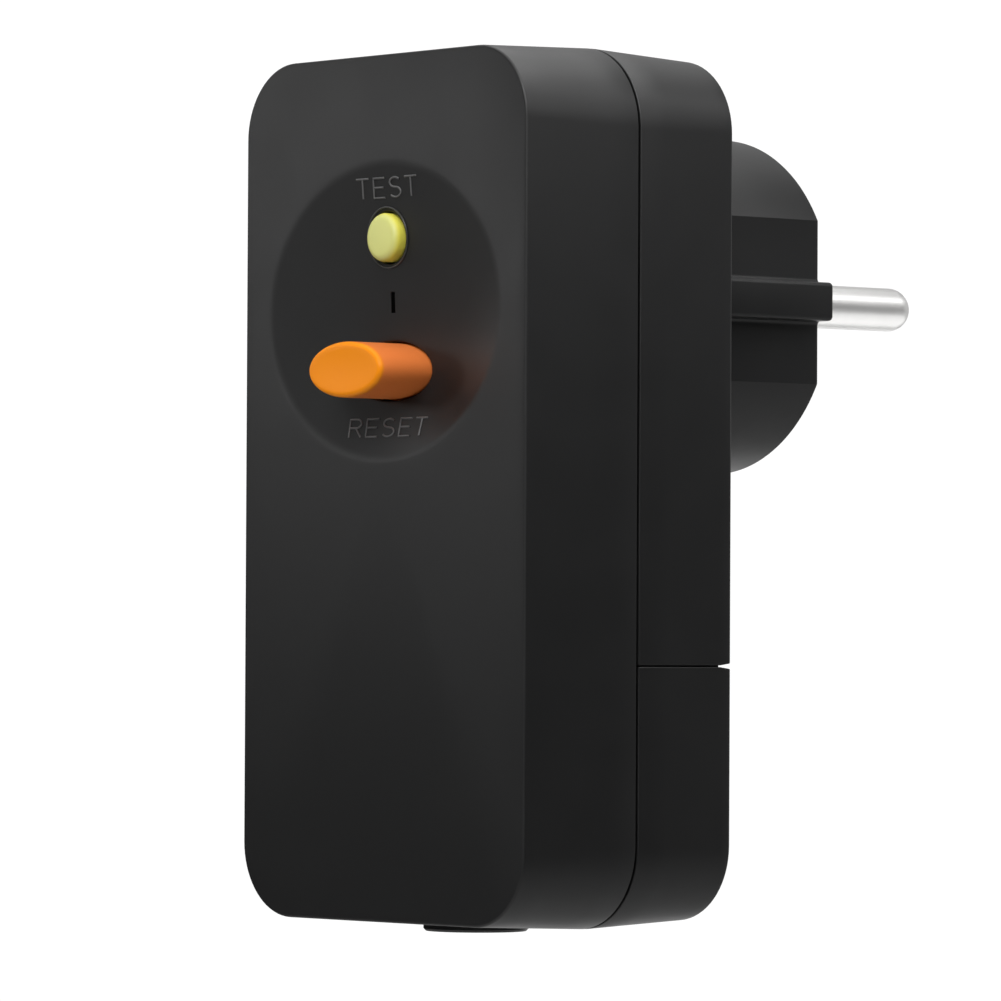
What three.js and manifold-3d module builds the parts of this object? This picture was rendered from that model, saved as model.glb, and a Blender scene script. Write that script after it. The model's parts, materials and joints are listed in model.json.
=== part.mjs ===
// Plug-in residual-current safety adapter for a rewirable mains cord.
// Millimetres. +Z is up, the button face looks along -Y and the plug points along +Y.
// The origin is the middle of the plug's end face, halfway between the two pins.

import * as THREE from 'three';
import { mergeVertices } from 'three/addons/utils/BufferGeometryUtils.js';
import Module from 'manifold-3d';

const wasm = await Module();
wasm.setup();

// ---------------------------------------------------------------- driving dimensions

const GAP = 0.3;                    // clearance between pieces that meet
const ROOT = 0.4;                   // how far a joined shape runs into what it stands on
const PAST = 1;                     // how far a cutting shape runs past the face that it opens

// Two-pin earthed mains plug
const PIN = { radius: 2.4, length: 19, x: 9.5, collar: 3.75, back: -25.5 };
const PLUG_RADIUS = 18.5;
const PLUG_FLAT = 16.2;             // the side flats' distance from the middle
const PLUG_LENGTH = 19.2;
const PLUG_RIB = { reach: 18.6, height: 4.2 };
const PLUG_FLANGE = { radius: 19.8, thickness: 1.9 };
const PLUG_HOLLOW = { radius: 15, halfWidth: 13, end: -5 };
const PIN_SLEEVE = 4.3;
const EARTH_CLIP = { width: 7, thickness: 0.8, end: -3.9, bottom: 17.2, bow: 0.5, footZ: 12 };
const EARTH_SLOT = { sideGap: 0.4, endGap: 0.5 };
const EARTH_STRAP = { halfWidth: 2.5, front: -26.3, back: -25.5, top: 14, thickness: 0.8, foot: -33.3 };
const PIN_BUSBAR = { half: 3, front: -26.7, back: -25.8 };

// Housing: three drafted outlines, seen from the front
const FRONT_OUTLINE = { width: 47.0, height: 92.2, radius: 8.0 };
const PARTING_OUTLINE = { width: 48.0, height: 93.3, radius: 9.0 };
const REAR_OUTLINE = { width: 46.7, height: 92.0, radius: 8.2 };
const REAR_Y = -PLUG_LENGTH;
const PARTING_Y = REAR_Y - 14.0;
const FRONT_Y = PARTING_Y - 15.05;
const HOUSING_Z = -20.85;           // the housing's mid height below the plug's axis
const HOUSING_BOTTOM = HOUSING_Z - PARTING_OUTLINE.height / 2;
const SEAM = 0.4;
const WALL = 2.2;
const FRONT_WALL = 3.0;
const INSIDE_FRONT = FRONT_Y + FRONT_WALL;
const INSIDE_REAR = REAR_Y - WALL;
const SPLIT_Z = HOUSING_Z - 18.78;  // terminal cover below, rear shell above
const SPLIT_GAP = 0.3;

// Shell insides
const LIP_CAVITY = { width: 43.2, height: 88.4, radius: 6.2 };
const FRONT_CAVITY = { width: 40.9, height: 86.1, radius: 5.2 };
const LIP_OUTER = { width: 42.6, height: 87.8, radius: 5.9 };
const REAR_CAVITY = { width: 40.6, height: 85.8, radius: 5.0 };
const LIP_FRONT = PARTING_Y - 2.2;
const SHOULDER_Y = PARTING_Y - 3.3;
const INNER_HALF = 20.6;            // half width of the walls that cross the inside
const PARTITION = { below: 1.2, above: 0.6, back: SHOULDER_Y - 1.5 };
const REAR_FLOOR = 2;

// Dished control panel
const DISH = { halfWidth: 19.35, halfHeight: 15.95, depth: 1.6, z: -1.95 };
const DISH_LOWEST = { x: 0.3, z: -0.5, roundness: 0.5 };  // shares of the dish's half sizes
const ON_MARK = { width: 0.75, height: 2.2, depth: 2.0, z: -1.15 };
const BUTTON_GAP = 0.4;
const BUTTON_FLANGE_Y = INSIDE_FRONT + GAP;
const TEST = { radius: 2.6, z: 5.75, face: -48.75, flange: 4, flangeDepth: 0.8, stem: 1.2, back: -40.6 };
const RESET = { width: 12.2, height: 5.95, end: 5.9, z: -8.45, face: -53.55 };
const RESET_FLANGE = { halfWidth: 7.5, halfHeight: 4.3, depth: 1 };
const RESET_STEM = { halfWidth: 2.2, halfHeight: 1.7, back: -34.6 };

// Cord inlet, in the bottom edge
const INLET = { y: -34.85, radius: 5.65, bore: 4.2, below: 0.65 };
const INLET_FLANGE = { radius: 7.2, depth: 1.8, neck: 0.5, lift: 0.45 };

// Fasteners
const HOUSING_SCREWS = [
  { name: 'housing_screw_top_left', x: -17.2, z: 20 },
  { name: 'housing_screw_top_right', x: 17.2, z: 20 },
  { name: 'housing_screw_bottom_left', x: -17.2, z: -34 },
  { name: 'housing_screw_bottom_right', x: 17.2, z: -34 },
];
const COVER_SCREWS = [
  { name: 'cover_screw_left', x: -17.2, z: -60 },
  { name: 'cover_screw_right', x: 17.2, z: -60 },
];
const SCREW = { shank: 1.3, head: 2.6, headLength: 1.8, tip: -41, point: 1 };
const BOSS = { front: 3.5, rear: 3.7, counterbore: 2.9 };
const CLAMP_SCREW = { shank: 1.2, head: 2.4, headLength: 1.7, headBack: -26.4, tip: -40, point: 0.6 };
const TERMINAL_SCREW = { shank: 1.3, head: 2.5, headLength: 1.7, headBack: -33.1, tip: -38.9, point: 0.6 };

// Terminal compartment
const CLAMP = { x: 8.5, z: -58, halfWidth: 11.8, halfHeight: 2.5, front: -30.9, back: -28.4 };
const CLAMP_PILLAR = { radius: 2.4, back: PARTING_Y + 2 };
const TERMINALS = [
  { name: 'left', x: -9 },
  { name: 'earth', x: 0 },
  { name: 'right', x: 9 },
];
const TERMINAL_Z = -49;
const TERMINAL_BLOCK = { halfWidth: 13.7, front: -44.9, back: -33.9, below: 5.5, above: 6.5 };
const TERMINAL_POCKET = { halfWidth: 3.6, front: -43.4, above: 4.7 };
const TERMINAL_CAGE = { halfWidth: 3.3, front: -43.1, back: -35.2, below: 4, above: 4.4 };
const WIRE_HOLE = { radius: 1.7, y: -41 };
const TERMINAL_THREAD = { radius: 1.6, front: -39.2 };

// Switch
const CHASSIS = { front: -38.6, back: -37.2, halfWidth: 13.4, low: -13.4, high: 11.5, testHole: 1.8 };
const TEST_SPRING = { radius: 2.0, wire: 0.2, length: 4.3, turns: 5, front: -43.7 };
const RESET_SPRING = { radius: 3.5, wire: 0.25, length: 4.7, turns: 4, front: -43.6 };
const TEST_CONTACT = { halfWidth: 5, halfHeight: 1.3, front: -39.1, back: -38.9 };
const CARRIAGE = { halfWidth: 9, low: -11, high: -6, front: -34.3, back: -32.9 };
const CONTACT_X = 6;
const CONTACT_ROW = { low: -10, high: -7 };
const MOVING_CONTACT = { halfWidth: 2.5, front: -32.6, back: -32.1 };
const FIXED_CONTACT = { halfWidth: 1.5, front: -29.4, back: -28.9 };

// Trip solenoid, along X, and the latch that it rocks
const SOLENOID = { y: -33.5, z: -18, left: -8.2, right: 7.2, halfDepth: 4.1, plate: 1, bore: 1.9 };
const COIL = { left: -6.9, right: 5.9, outer: 4, inner: 2, clearance: 0.4 };
const PLUNGER = { left: -3, bodyEnd: 10, radius: 1.5, collar: 2.5, collarWidth: 1, neck: 0.8, right: 14.8 };
const PLUNGER_SPRING = { radius: 2.1, wire: 0.18, length: 2.2, turns: 3, left: 7.5 };
const LATCH = { x: 12.4, z: -12.5, hub: 1.9, front: -34.5, back: -32.5, halfArm: 1, reach: 4.5 };
const LATCH_NOSE = { reach: 2.9, low: 3 };
const LATCH_FOOT = 4.4;
const LATCH_PIN = { radius: 1.0, front: -36.9, back: -29 };

// Circuit
const BOARD = { front: -28.6, back: -27.0, halfWidth: 19, low: -25.5, high: 21.5 };
const BOARD_NECK = { halfWidth: 13, low: 15.5 };
const PARTS_BACK = BOARD.front - GAP;
const TRANSFORMER = { y: -35, low: -34.5, high: -27.5, outer: 8, inner: 4 };
const CONDUCTOR = { radius: 1, steps: 28, sides: 8 };
const CAPACITOR = { left: -11, right: 3, low: 12.5, high: 20, front: -36 };
const VARISTOR = { x: 8.5, z: 16, radius: 4.2, front: -32 };
const RESISTOR = { y: -31, z: 8.5, radius: 1.2, left: 1, right: 9 };
const CHIP = { left: -10, right: -4, halfHeight: 2.5, front: -30.6 };

// ---------------------------------------------------------------- materials

function material(color, roughness, metalness) {
  return new THREE.MeshStandardMaterial({ color, roughness, metalness });
}

const BLACK_PLASTIC = material(0x2e2e2f, 0.5, 0);
const RUBBER = material(0x151515, 0.85, 0);
const NICKEL = material(0xd8d6d2, 0.25, 1);
const BRASS = material(0xc9a24a, 0.35, 1);
const STEEL = material(0xa9abad, 0.35, 1);
const COPPER = material(0xb87333, 0.35, 1);
const YELLOW_PLASTIC = material(0xcfcf85, 0.4, 0);
const ORANGE_PLASTIC = material(0xec8e1d, 0.4, 0);
const CREAM_PLASTIC = material(0xd9d3c2, 0.55, 0);
const BOARD_GREEN = material(0x1f5a3a, 0.5, 0);
const DARK_RESIN = material(0x1b1c20, 0.4, 0);
const BLUE_RESIN = material(0x24508c, 0.45, 0);
const WIRE_BROWN = material(0x5b3a24, 0.5, 0);
const WIRE_BLUE = material(0x2559a8, 0.5, 0);

// ---------------------------------------------------------------- shapes

const CORNER_STEPS = 5;

function roundedRect({ width, height, radius }) {
  const x = width / 2 - radius;
  const z = height / 2 - radius;
  const shape = new THREE.Shape();
  shape.absarc(x, z, radius, 0, Math.PI / 2);
  shape.absarc(-x, z, radius, Math.PI / 2, Math.PI);
  shape.absarc(-x, -z, radius, Math.PI, Math.PI * 1.5);
  shape.absarc(x, -z, radius, Math.PI * 1.5, Math.PI * 2);
  return shape;
}

function polygon(points) {
  return new THREE.Shape(points.map(([a, b]) => new THREE.Vector2(a, b)));
}

// The plug's section: a circle with two side flats, each with a rib in its middle.
function plugOutline(grow = 0) {
  const radius = PLUG_RADIUS + grow;
  const flat = PLUG_FLAT + grow;
  const rib = PLUG_RIB.height / 2 + grow;
  const reach = PLUG_RIB.reach + grow;
  const angle = Math.acos(flat / radius);
  const shape = new THREE.Shape();
  shape.moveTo(reach, -rib);
  shape.lineTo(reach, rib);
  shape.lineTo(flat, rib);
  shape.absarc(0, 0, radius, angle, Math.PI - angle);
  shape.lineTo(-flat, rib);
  shape.lineTo(-reach, rib);
  shape.lineTo(-reach, -rib);
  shape.lineTo(-flat, -rib);
  shape.absarc(0, 0, radius, Math.PI + angle, 2 * Math.PI - angle);
  shape.lineTo(flat, -rib);
  return shape;
}

// An oval between a stadium and an ellipse: its ends are half ellipses.
function ovalOutline({ width, height, end }) {
  const x = width / 2 - end;
  const shape = new THREE.Shape();
  shape.absellipse(x, 0, end, height / 2, -Math.PI / 2, Math.PI / 2);
  shape.absellipse(-x, 0, end, height / 2, Math.PI / 2, Math.PI * 1.5);
  return shape;
}

// A shape drawn in X and Z, as a solid from yFront to yBack.
function extrudeY(shape, yFront, yBack, curveSegments = CORNER_STEPS) {
  const depth = yBack - yFront;
  const geometry = new THREE.ExtrudeGeometry(shape, { depth, bevelEnabled: false, curveSegments });
  return geometry.rotateX(Math.PI / 2).translate(0, yBack, 0);
}

// A shape drawn in Y and Z, as a solid from xLow to xHigh.
function extrudeX(shape, xLow, xHigh, curveSegments = CORNER_STEPS) {
  const depth = xHigh - xLow;
  const geometry = new THREE.ExtrudeGeometry(shape, { depth, bevelEnabled: false, curveSegments });
  const axes = new THREE.Matrix4().makeBasis(
    new THREE.Vector3(0, 1, 0),
    new THREE.Vector3(0, 0, 1),
    new THREE.Vector3(1, 0, 0),
  );
  return geometry.applyMatrix4(axes).translate(xLow, 0, 0);
}

// A rounded rectangle whose outline changes evenly from front to back, as moulding draft.
function drafted(front, back, yFront, yBack) {
  const geometry = extrudeY(roundedRect(back), yFront, yBack);
  const position = geometry.attributes.position;
  const middle = (yFront + yBack) / 2;
  for (let i = 0; i < position.count; i += 1) {
    if (position.getY(i) < middle) {
      const right = Math.sign(position.getX(i));
      const up = Math.sign(position.getZ(i));
      const dx = position.getX(i) - right * (back.width / 2 - back.radius);
      const dz = position.getZ(i) - up * (back.height / 2 - back.radius);
      const ratio = front.radius / back.radius;
      position.setX(i, right * (front.width / 2 - front.radius) + dx * ratio);
      position.setZ(i, up * (front.height / 2 - front.radius) + dz * ratio);
    }
  }
  return geometry.translate(0, 0, HOUSING_Z);
}

function housingBlock(outline, yFront, yBack) {
  return extrudeY(roundedRect(outline), yFront, yBack).translate(0, 0, HOUSING_Z);
}

function box(low, high) {
  const size = high.map((value, i) => value - low[i]);
  const middle = high.map((value, i) => (value + low[i]) / 2);
  return new THREE.BoxGeometry(...size).translate(...middle);
}

// Round bars along each axis; sides is the number of flats round them.
function rodY(x, z, radius, yLow, yHigh, sides = 16) {
  return new THREE.CylinderGeometry(radius, radius, yHigh - yLow, sides)
    .translate(x, (yLow + yHigh) / 2, z);
}

function rodX(y, z, radius, xLow, xHigh, sides = 16) {
  return new THREE.CylinderGeometry(radius, radius, xHigh - xLow, sides)
    .rotateZ(Math.PI / 2)
    .translate((xLow + xHigh) / 2, y, z);
}

function rodZ(x, y, radius, zLow, zHigh, sides = 16) {
  return new THREE.CylinderGeometry(radius, radius, zHigh - zLow, sides)
    .rotateX(Math.PI / 2)
    .translate(x, y, (zLow + zHigh) / 2);
}

// A turned piece about the Y axis; the profile is [radius, y] from its low end to its high end.
function turned(profile, x, z, sides = 16) {
  const points = profile.map(([radius, y]) => new THREE.Vector2(radius, y));
  return new THREE.LatheGeometry(points, sides).translate(x, 0, z);
}

const SIDES = [-1, 1];

function sideName(side) {
  return side < 0 ? 'left' : 'right';
}

// A clearance hole for one of the cord clamp's screws.
function clampHole(side, yFront, yBack) {
  return rodY(side * CLAMP.x, CLAMP.z, CLAMP_SCREW.shank + GAP, yFront, yBack, 12);
}

class Helix extends THREE.Curve {
  constructor(radius, length, turns) {
    super();
    this.radius = radius;
    this.length = length;
    this.turns = turns;
  }

  getPoint(t, target = new THREE.Vector3()) {
    const angle = t * this.turns * Math.PI * 2;
    return target.set(
      this.radius * Math.cos(angle),
      this.length * t,
      this.radius * Math.sin(angle),
    );
  }
}

function alongCurve(curve, radius, steps, sides) {
  const section = new THREE.Shape();
  section.absarc(0, 0, radius, 0, Math.PI * 2);
  return new THREE.ExtrudeGeometry(section, {
    extrudePath: curve,
    steps,
    curveSegments: sides / 2,
    bevelEnabled: false,
  });
}

// A compression spring about the Y axis, standing on y = 0.
function coilSpring({ radius, wire, length, turns }) {
  const stepsPerTurn = 10;
  const helix = new Helix(radius, length - 2 * wire, turns);
  const wireSides = 6;
  return alongCurve(helix, wire, turns * stepsPerTurn, wireSides).translate(0, wire, 0);
}

// ---------------------------------------------------------------- solids

// Welds a geometry's corners and drops the triangles that collapse at a lathe's poles.
function welded(geometry) {
  const bare = geometry.clone();
  bare.deleteAttribute('normal');
  bare.deleteAttribute('uv');
  const merged = mergeVertices(bare, 1e-4);
  const kept = [];
  for (let i = 0; i < merged.index.count; i += 3) {
    const [a, b, c] = [0, 1, 2].map((k) => merged.index.getX(i + k));
    if (a !== b && b !== c && c !== a) kept.push(a, b, c);
  }
  merged.setIndex(kept);
  return merged;
}

function solid(geometry) {
  const merged = welded(geometry);
  return new wasm.Manifold(new wasm.Mesh({
    numProp: 3,
    vertProperties: new Float32Array(merged.attributes.position.array),
    triVerts: new Uint32Array(merged.index.array),
  }));
}

function cut(body, ...tools) {
  return tools.reduce((left, tool) => left.subtract(solid(tool)), body);
}

function join(body, ...pieces) {
  return pieces.reduce((left, piece) => left.add(solid(piece)), body);
}

const group = new THREE.Group();

// Adds one named piece, from a three.js geometry or from a solid.
function piece(name, shape, finish) {
  let geometry = shape;
  if (shape instanceof wasm.Manifold) {
    const { vertProperties, triVerts } = shape.getMesh();
    geometry = new THREE.BufferGeometry();
    geometry.setAttribute('position', new THREE.BufferAttribute(vertProperties, 3));
    geometry.setIndex(new THREE.BufferAttribute(triVerts, 1));
  } else {
    geometry = welded(shape);
  }
  geometry.computeVertexNormals();
  const mesh = new THREE.Mesh(geometry, finish);
  mesh.name = name;
  group.add(mesh);
}

// ---------------------------------------------------------------- housing

// The dish is a shallow scoop, elliptical from the front, whose lowest point lies off its middle.
function dish() {
  const rings = 6;
  const { roundness } = DISH_LOWEST;
  const rim = Math.hypot(1, roundness);
  const profile = [[0, -1], [1, -1]];
  for (let i = 0; i <= rings; i += 1) {
    const radius = 1 - i / rings;
    const fall = (rim - Math.hypot(radius, roundness)) / (rim - roundness);
    profile.push([radius, DISH.depth * fall]);
  }
  const bowl = turned(profile, 0, 0, 32);
  const { position } = bowl.attributes;
  for (let i = 0; i < position.count; i += 1) {
    const inward = 1 - Math.hypot(position.getX(i), position.getZ(i));
    position.setX(i, position.getX(i) + DISH_LOWEST.x * inward);
    position.setZ(i, position.getZ(i) + DISH_LOWEST.z * inward);
  }
  return bowl.scale(DISH.halfWidth, 1, DISH.halfHeight).translate(0, FRONT_Y, DISH.z);
}

function resetOutline(grow) {
  return ovalOutline({
    width: RESET.width + 2 * grow,
    height: RESET.height + 2 * grow,
    end: RESET.end + grow,
  });
}

// The hole for the inlet collar, up to a height inside the housing.
function inletHole(top) {
  return rodZ(0, INLET.y, INLET.radius + GAP, HOUSING_BOTTOM - 2 * PAST, top, 24);
}

function frontShell() {
  const back = PARTING_Y - SEAM / 2;
  const root = INSIDE_FRONT - ROOT;
  const bosses = [...HOUSING_SCREWS, ...COVER_SCREWS];
  const hollow = [
    housingBlock(FRONT_CAVITY, INSIDE_FRONT, SHOULDER_Y + 0.1),
    housingBlock(LIP_CAVITY, SHOULDER_Y, back + PAST),
    inletHole(CLAMP.z - 2),
  ];
  const controls = [
    dish(),
    rodY(0, TEST.z, TEST.radius + BUTTON_GAP, FRONT_Y - PAST, INSIDE_FRONT + PAST, 24),
    extrudeY(resetOutline(BUTTON_GAP), FRONT_Y - PAST, INSIDE_FRONT + PAST, 8).translate(0, 0, RESET.z),
    box(
      [-ON_MARK.width / 2, FRONT_Y - PAST, ON_MARK.z - ON_MARK.height / 2],
      [ON_MARK.width / 2, FRONT_Y + ON_MARK.depth, ON_MARK.z + ON_MARK.height / 2],
    ),
  ];
  const standing = [
    ...bosses.map(({ x, z }) => rodY(x, z, BOSS.front, root, SHOULDER_Y)),
    ...SIDES.map((side) => rodY(side * CLAMP.x, CLAMP.z, CLAMP_PILLAR.radius, root, CLAMP_PILLAR.back, 12)),
    box(
      [-INNER_HALF, root, SPLIT_Z - PARTITION.below],
      [INNER_HALF, PARTITION.back, SPLIT_Z + PARTITION.above],
    ),
  ];
  const screwHoles = [
    ...bosses.map(({ x, z }) => rodY(x, z, SCREW.shank + GAP, INSIDE_FRONT + PAST, back + PAST, 12)),
    ...SIDES.map((side) => clampHole(side, INSIDE_FRONT + PAST, CLAMP_PILLAR.back + PAST)),
  ];
  const block = solid(drafted(FRONT_OUTLINE, PARTING_OUTLINE, FRONT_Y, back));
  return cut(join(cut(block, ...hollow, ...controls), ...standing), ...screwHoles);
}

// The rear half of the housing before it is split: hollow, with a lip all round.
function rearHalf(screws) {
  const front = PARTING_Y + SEAM / 2;
  let half = solid(drafted(PARTING_OUTLINE, REAR_OUTLINE, front, REAR_Y));
  half = join(half, housingBlock(LIP_OUTER, LIP_FRONT, front + 0.1));
  half = cut(half, housingBlock(REAR_CAVITY, LIP_FRONT - PAST, INSIDE_REAR));
  half = join(half, ...screws.map(({ x, z }) => rodY(x, z, BOSS.rear, front - GAP, INSIDE_REAR + ROOT)));
  return cut(
    half,
    ...screws.map(({ x, z }) => rodY(x, z, SCREW.shank + GAP, LIP_FRONT - PAST, REAR_Y + PAST, 12)),
    ...screws.map(({ x, z }) => rodY(x, z, BOSS.counterbore, INSIDE_REAR, REAR_Y + PAST, 20)),
  );
}

// Everything in the housing's rear half between two heights.
function band(low, high) {
  const halfWidth = PARTING_OUTLINE.width;
  return box([-halfWidth, FRONT_Y, low], [halfWidth, 0, high]);
}

function rearShell() {
  const bottom = SPLIT_Z + SPLIT_GAP / 2;
  const floor = box(
    [-INNER_HALF, PARTING_Y + SEAM / 2, bottom],
    [INNER_HALF, INSIDE_REAR + 0.1, bottom + REAR_FLOOR],
  );
  return cut(
    join(cut(rearHalf(HOUSING_SCREWS), band(bottom - PARTING_OUTLINE.height, bottom)), floor),
    extrudeY(plugOutline(GAP), INSIDE_REAR - PAST, REAR_Y + PAST, 20),
    box(
      [-EARTH_STRAP.halfWidth - ROOT, EARTH_STRAP.front - 0.5, bottom - PAST],
      [EARTH_STRAP.halfWidth + ROOT, EARTH_STRAP.back + 0.5, bottom + REAR_FLOOR + PAST],
    ),
  );
}

function terminalCover() {
  const top = SPLIT_Z - SPLIT_GAP / 2;
  return cut(rearHalf(COVER_SCREWS), band(top, top + PARTING_OUTLINE.height), inletHole(CLAMP.z - 2));
}

function housingSeal() {
  const front = SHOULDER_Y + GAP;
  const back = LIP_FRONT - GAP;
  return cut(
    solid(housingBlock(LIP_OUTER, front, back)),
    housingBlock(REAR_CAVITY, front - PAST, back + PAST),
    inletHole(CLAMP.z),
  );
}

function screw({ shank, head, headLength, headBack, tip, point }, x, z, sides = 12) {
  const seat = headBack - headLength;
  return turned([
    [0, tip],
    [shank, tip + point],
    [shank, seat],
    [head, seat],
    [head, headBack],
    [0, headBack],
  ], x, z, sides);
}

piece('front_shell', frontShell(), BLACK_PLASTIC);
piece('rear_shell', rearShell(), BLACK_PLASTIC);
piece('terminal_cover', terminalCover(), BLACK_PLASTIC);
piece('housing_seal', housingSeal(), RUBBER);
for (const { name, x, z } of [...HOUSING_SCREWS, ...COVER_SCREWS]) {
  const headBack = INSIDE_REAR + GAP + SCREW.headLength;
  piece(name, screw({ ...SCREW, headBack }, x, z, 14), STEEL);
}

// ---------------------------------------------------------------- plug

const PLUG_BACK = INSIDE_REAR - GAP - PLUG_FLANGE.thickness;

// The slot of the top (1) or bottom (-1) earth clip.
function earthSlot(side) {
  const halfWidth = EARTH_CLIP.width / 2 + EARTH_SLOT.sideGap;
  const inner = side * (EARTH_CLIP.bottom - GAP);
  const outer = side * (PLUG_FLANGE.radius + 0.1);
  return box(
    [-halfWidth, PLUG_BACK - PAST, Math.min(inner, outer)],
    [halfWidth, EARTH_CLIP.end + EARTH_SLOT.endGap, Math.max(inner, outer)],
  );
}

function plugBody() {
  const { radius, halfWidth, end } = PLUG_HOLLOW;
  const hollow = solid(rodY(0, 0, radius, PLUG_BACK - PAST, end, 32))
    .intersect(solid(box([-halfWidth, PLUG_BACK - 2 * PAST, -PLUG_RADIUS], [halfWidth, 0, PLUG_RADIUS])));
  let body = solid(extrudeY(plugOutline(), PLUG_BACK, 0, 20));
  body = join(body, rodY(0, 0, PLUG_FLANGE.radius, PLUG_BACK, INSIDE_REAR - GAP, 40));
  body = body.subtract(hollow);
  body = join(body, ...SIDES.map((side) => rodY(side * PIN.x, 0, PIN_SLEEVE, PLUG_BACK, end + 0.1)));
  return cut(
    body,
    ...SIDES.map((side) => rodY(side * PIN.x, 0, PIN.radius + GAP, PLUG_BACK - PAST, PAST, 20)),
    ...SIDES.map(earthSlot),
  );
}

// A round-nosed pin with a collar behind the plug body that keeps it in.
function plugPin(side) {
  const noseSteps = 5;
  const collarEnd = PLUG_BACK - ROOT;
  const profile = [
    [0, PIN.back],
    [PIN.collar, PIN.back],
    [PIN.collar, collarEnd],
    [PIN.radius, collarEnd],
  ];
  for (let i = 0; i < noseSteps; i += 1) {
    const angle = (i / noseSteps) * (Math.PI / 2);
    const rise = PIN.radius * Math.sin(angle);
    profile.push([PIN.radius * Math.cos(angle), PIN.length - PIN.radius + rise]);
  }
  profile.push([0, PIN.length]);
  return turned(profile, side * PIN.x, 0, 20);
}

// A sprung strip in the plug's top or bottom slot, with a foot turned in behind the plug.
function earthClip(side) {
  const { bottom, thickness, end, width, bow, footZ } = EARTH_CLIP;
  const top = bottom + thickness;
  const foot = PLUG_BACK - 0.5;
  const bowStart = -15;
  const bowTop = -10;
  const strip = polygon([
    [foot - thickness, footZ],
    [foot, footZ],
    [foot, bottom],
    [bowStart, bottom],
    [bowTop, bottom + bow],
    [end, bottom],
    [end, top],
    [bowTop, top + bow],
    [bowStart, top],
    [foot - thickness, top],
  ]);
  const geometry = extrudeX(strip, -width / 2, width / 2);
  return side > 0 ? geometry : geometry.rotateY(Math.PI);
}

// The strap from the earth clips down to the middle terminal, turned forward at its foot.
function earthStrap() {
  const { halfWidth, front, back, top, thickness, foot } = EARTH_STRAP;
  const bend = SPLIT_Z - 2.7;
  return join(
    solid(box([-halfWidth, front, bend], [halfWidth, back, top])),
    box([-halfWidth, foot, bend - thickness], [halfWidth, back, bend]),
  );
}

function pinBusbar(side) {
  const { half, front, back } = PIN_BUSBAR;
  return box([side * PIN.x - half, front, -half], [side * PIN.x + half, back, half]);
}

piece('plug_body', plugBody(), BLACK_PLASTIC);
piece('earth_clip_top', earthClip(1), NICKEL);
piece('earth_clip_bottom', earthClip(-1), NICKEL);
piece('earth_strap', earthStrap(), BRASS);
for (const side of SIDES) {
  piece(`plug_pin_${sideName(side)}`, plugPin(side), NICKEL);
  piece(`pin_busbar_${sideName(side)}`, pinBusbar(side), COPPER);
}

// ---------------------------------------------------------------- cord inlet and terminals

function inletCollar() {
  const { y, radius, bore, below } = INLET;
  const bottom = HOUSING_BOTTOM - below;
  const flangeLow = HOUSING_Z - REAR_CAVITY.height / 2 + INLET_FLANGE.lift;
  const flangeHigh = flangeLow + INLET_FLANGE.depth;
  return cut(
    join(
      solid(rodZ(0, y, radius, bottom, flangeHigh + INLET_FLANGE.neck, 24)),
      rodZ(0, y, INLET_FLANGE.radius, flangeLow, flangeHigh, 24),
    ),
    rodZ(0, y, bore, bottom - PAST, flangeHigh + INLET_FLANGE.neck + PAST, 24),
  );
}

function cordClamp() {
  const { z, halfWidth, halfHeight, front, back } = CLAMP;
  return cut(
    solid(box([-halfWidth, front, z - halfHeight], [halfWidth, back, z + halfHeight])),
    ...SIDES.map((side) => clampHole(side, front - PAST, back + PAST)),
  );
}

function terminalBlock() {
  const { halfWidth, front, back, below, above } = TERMINAL_BLOCK;
  return cut(
    solid(box([-halfWidth, front, TERMINAL_Z - below], [halfWidth, back, TERMINAL_Z + above])),
    ...TERMINALS.map(({ x }) => box(
      [x - TERMINAL_POCKET.halfWidth, TERMINAL_POCKET.front, TERMINAL_Z - below - PAST],
      [x + TERMINAL_POCKET.halfWidth, back + PAST, TERMINAL_Z + TERMINAL_POCKET.above],
    )),
  );
}

// A brass cage with a hole for the wire from below and a threaded hole from the back.
function terminalCage(x) {
  const { halfWidth, front, back, below, above } = TERMINAL_CAGE;
  return cut(
    solid(box([x - halfWidth, front, TERMINAL_Z - below], [x + halfWidth, back, TERMINAL_Z + above])),
    rodZ(x, WIRE_HOLE.y, WIRE_HOLE.radius, TERMINAL_Z - below - PAST, TERMINAL_Z + above + PAST, 12),
    rodY(x, TERMINAL_Z, TERMINAL_THREAD.radius, TERMINAL_THREAD.front, back + PAST, 12),
  );
}

piece('inlet_collar', inletCollar(), BLACK_PLASTIC);
piece('cord_clamp', cordClamp(), CREAM_PLASTIC);
for (const side of SIDES) {
  piece(`cord_clamp_screw_${sideName(side)}`, screw(CLAMP_SCREW, side * CLAMP.x, CLAMP.z), STEEL);
}
piece('terminal_block', terminalBlock(), CREAM_PLASTIC);
for (const { name, x } of TERMINALS) {
  piece(`terminal_clamp_${name}`, terminalCage(x), BRASS);
  piece(`terminal_screw_${name}`, screw(TERMINAL_SCREW, x, TERMINAL_Z), STEEL);
}

// ---------------------------------------------------------------- buttons and switch

function testButton() {
  const { radius, z, face, flange, flangeDepth, stem, back } = TEST;
  const flangeBack = BUTTON_FLANGE_Y + flangeDepth;
  return turned([
    [0, face],
    [radius - 0.5, face + 0.06],
    [radius - 0.12, face + 0.3],
    [radius, face + 0.7],
    [radius, BUTTON_FLANGE_Y],
    [flange, BUTTON_FLANGE_Y],
    [flange, flangeBack],
    [stem, flangeBack],
    [stem, back],
    [0, back],
  ], 0, z, 20);
}

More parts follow.
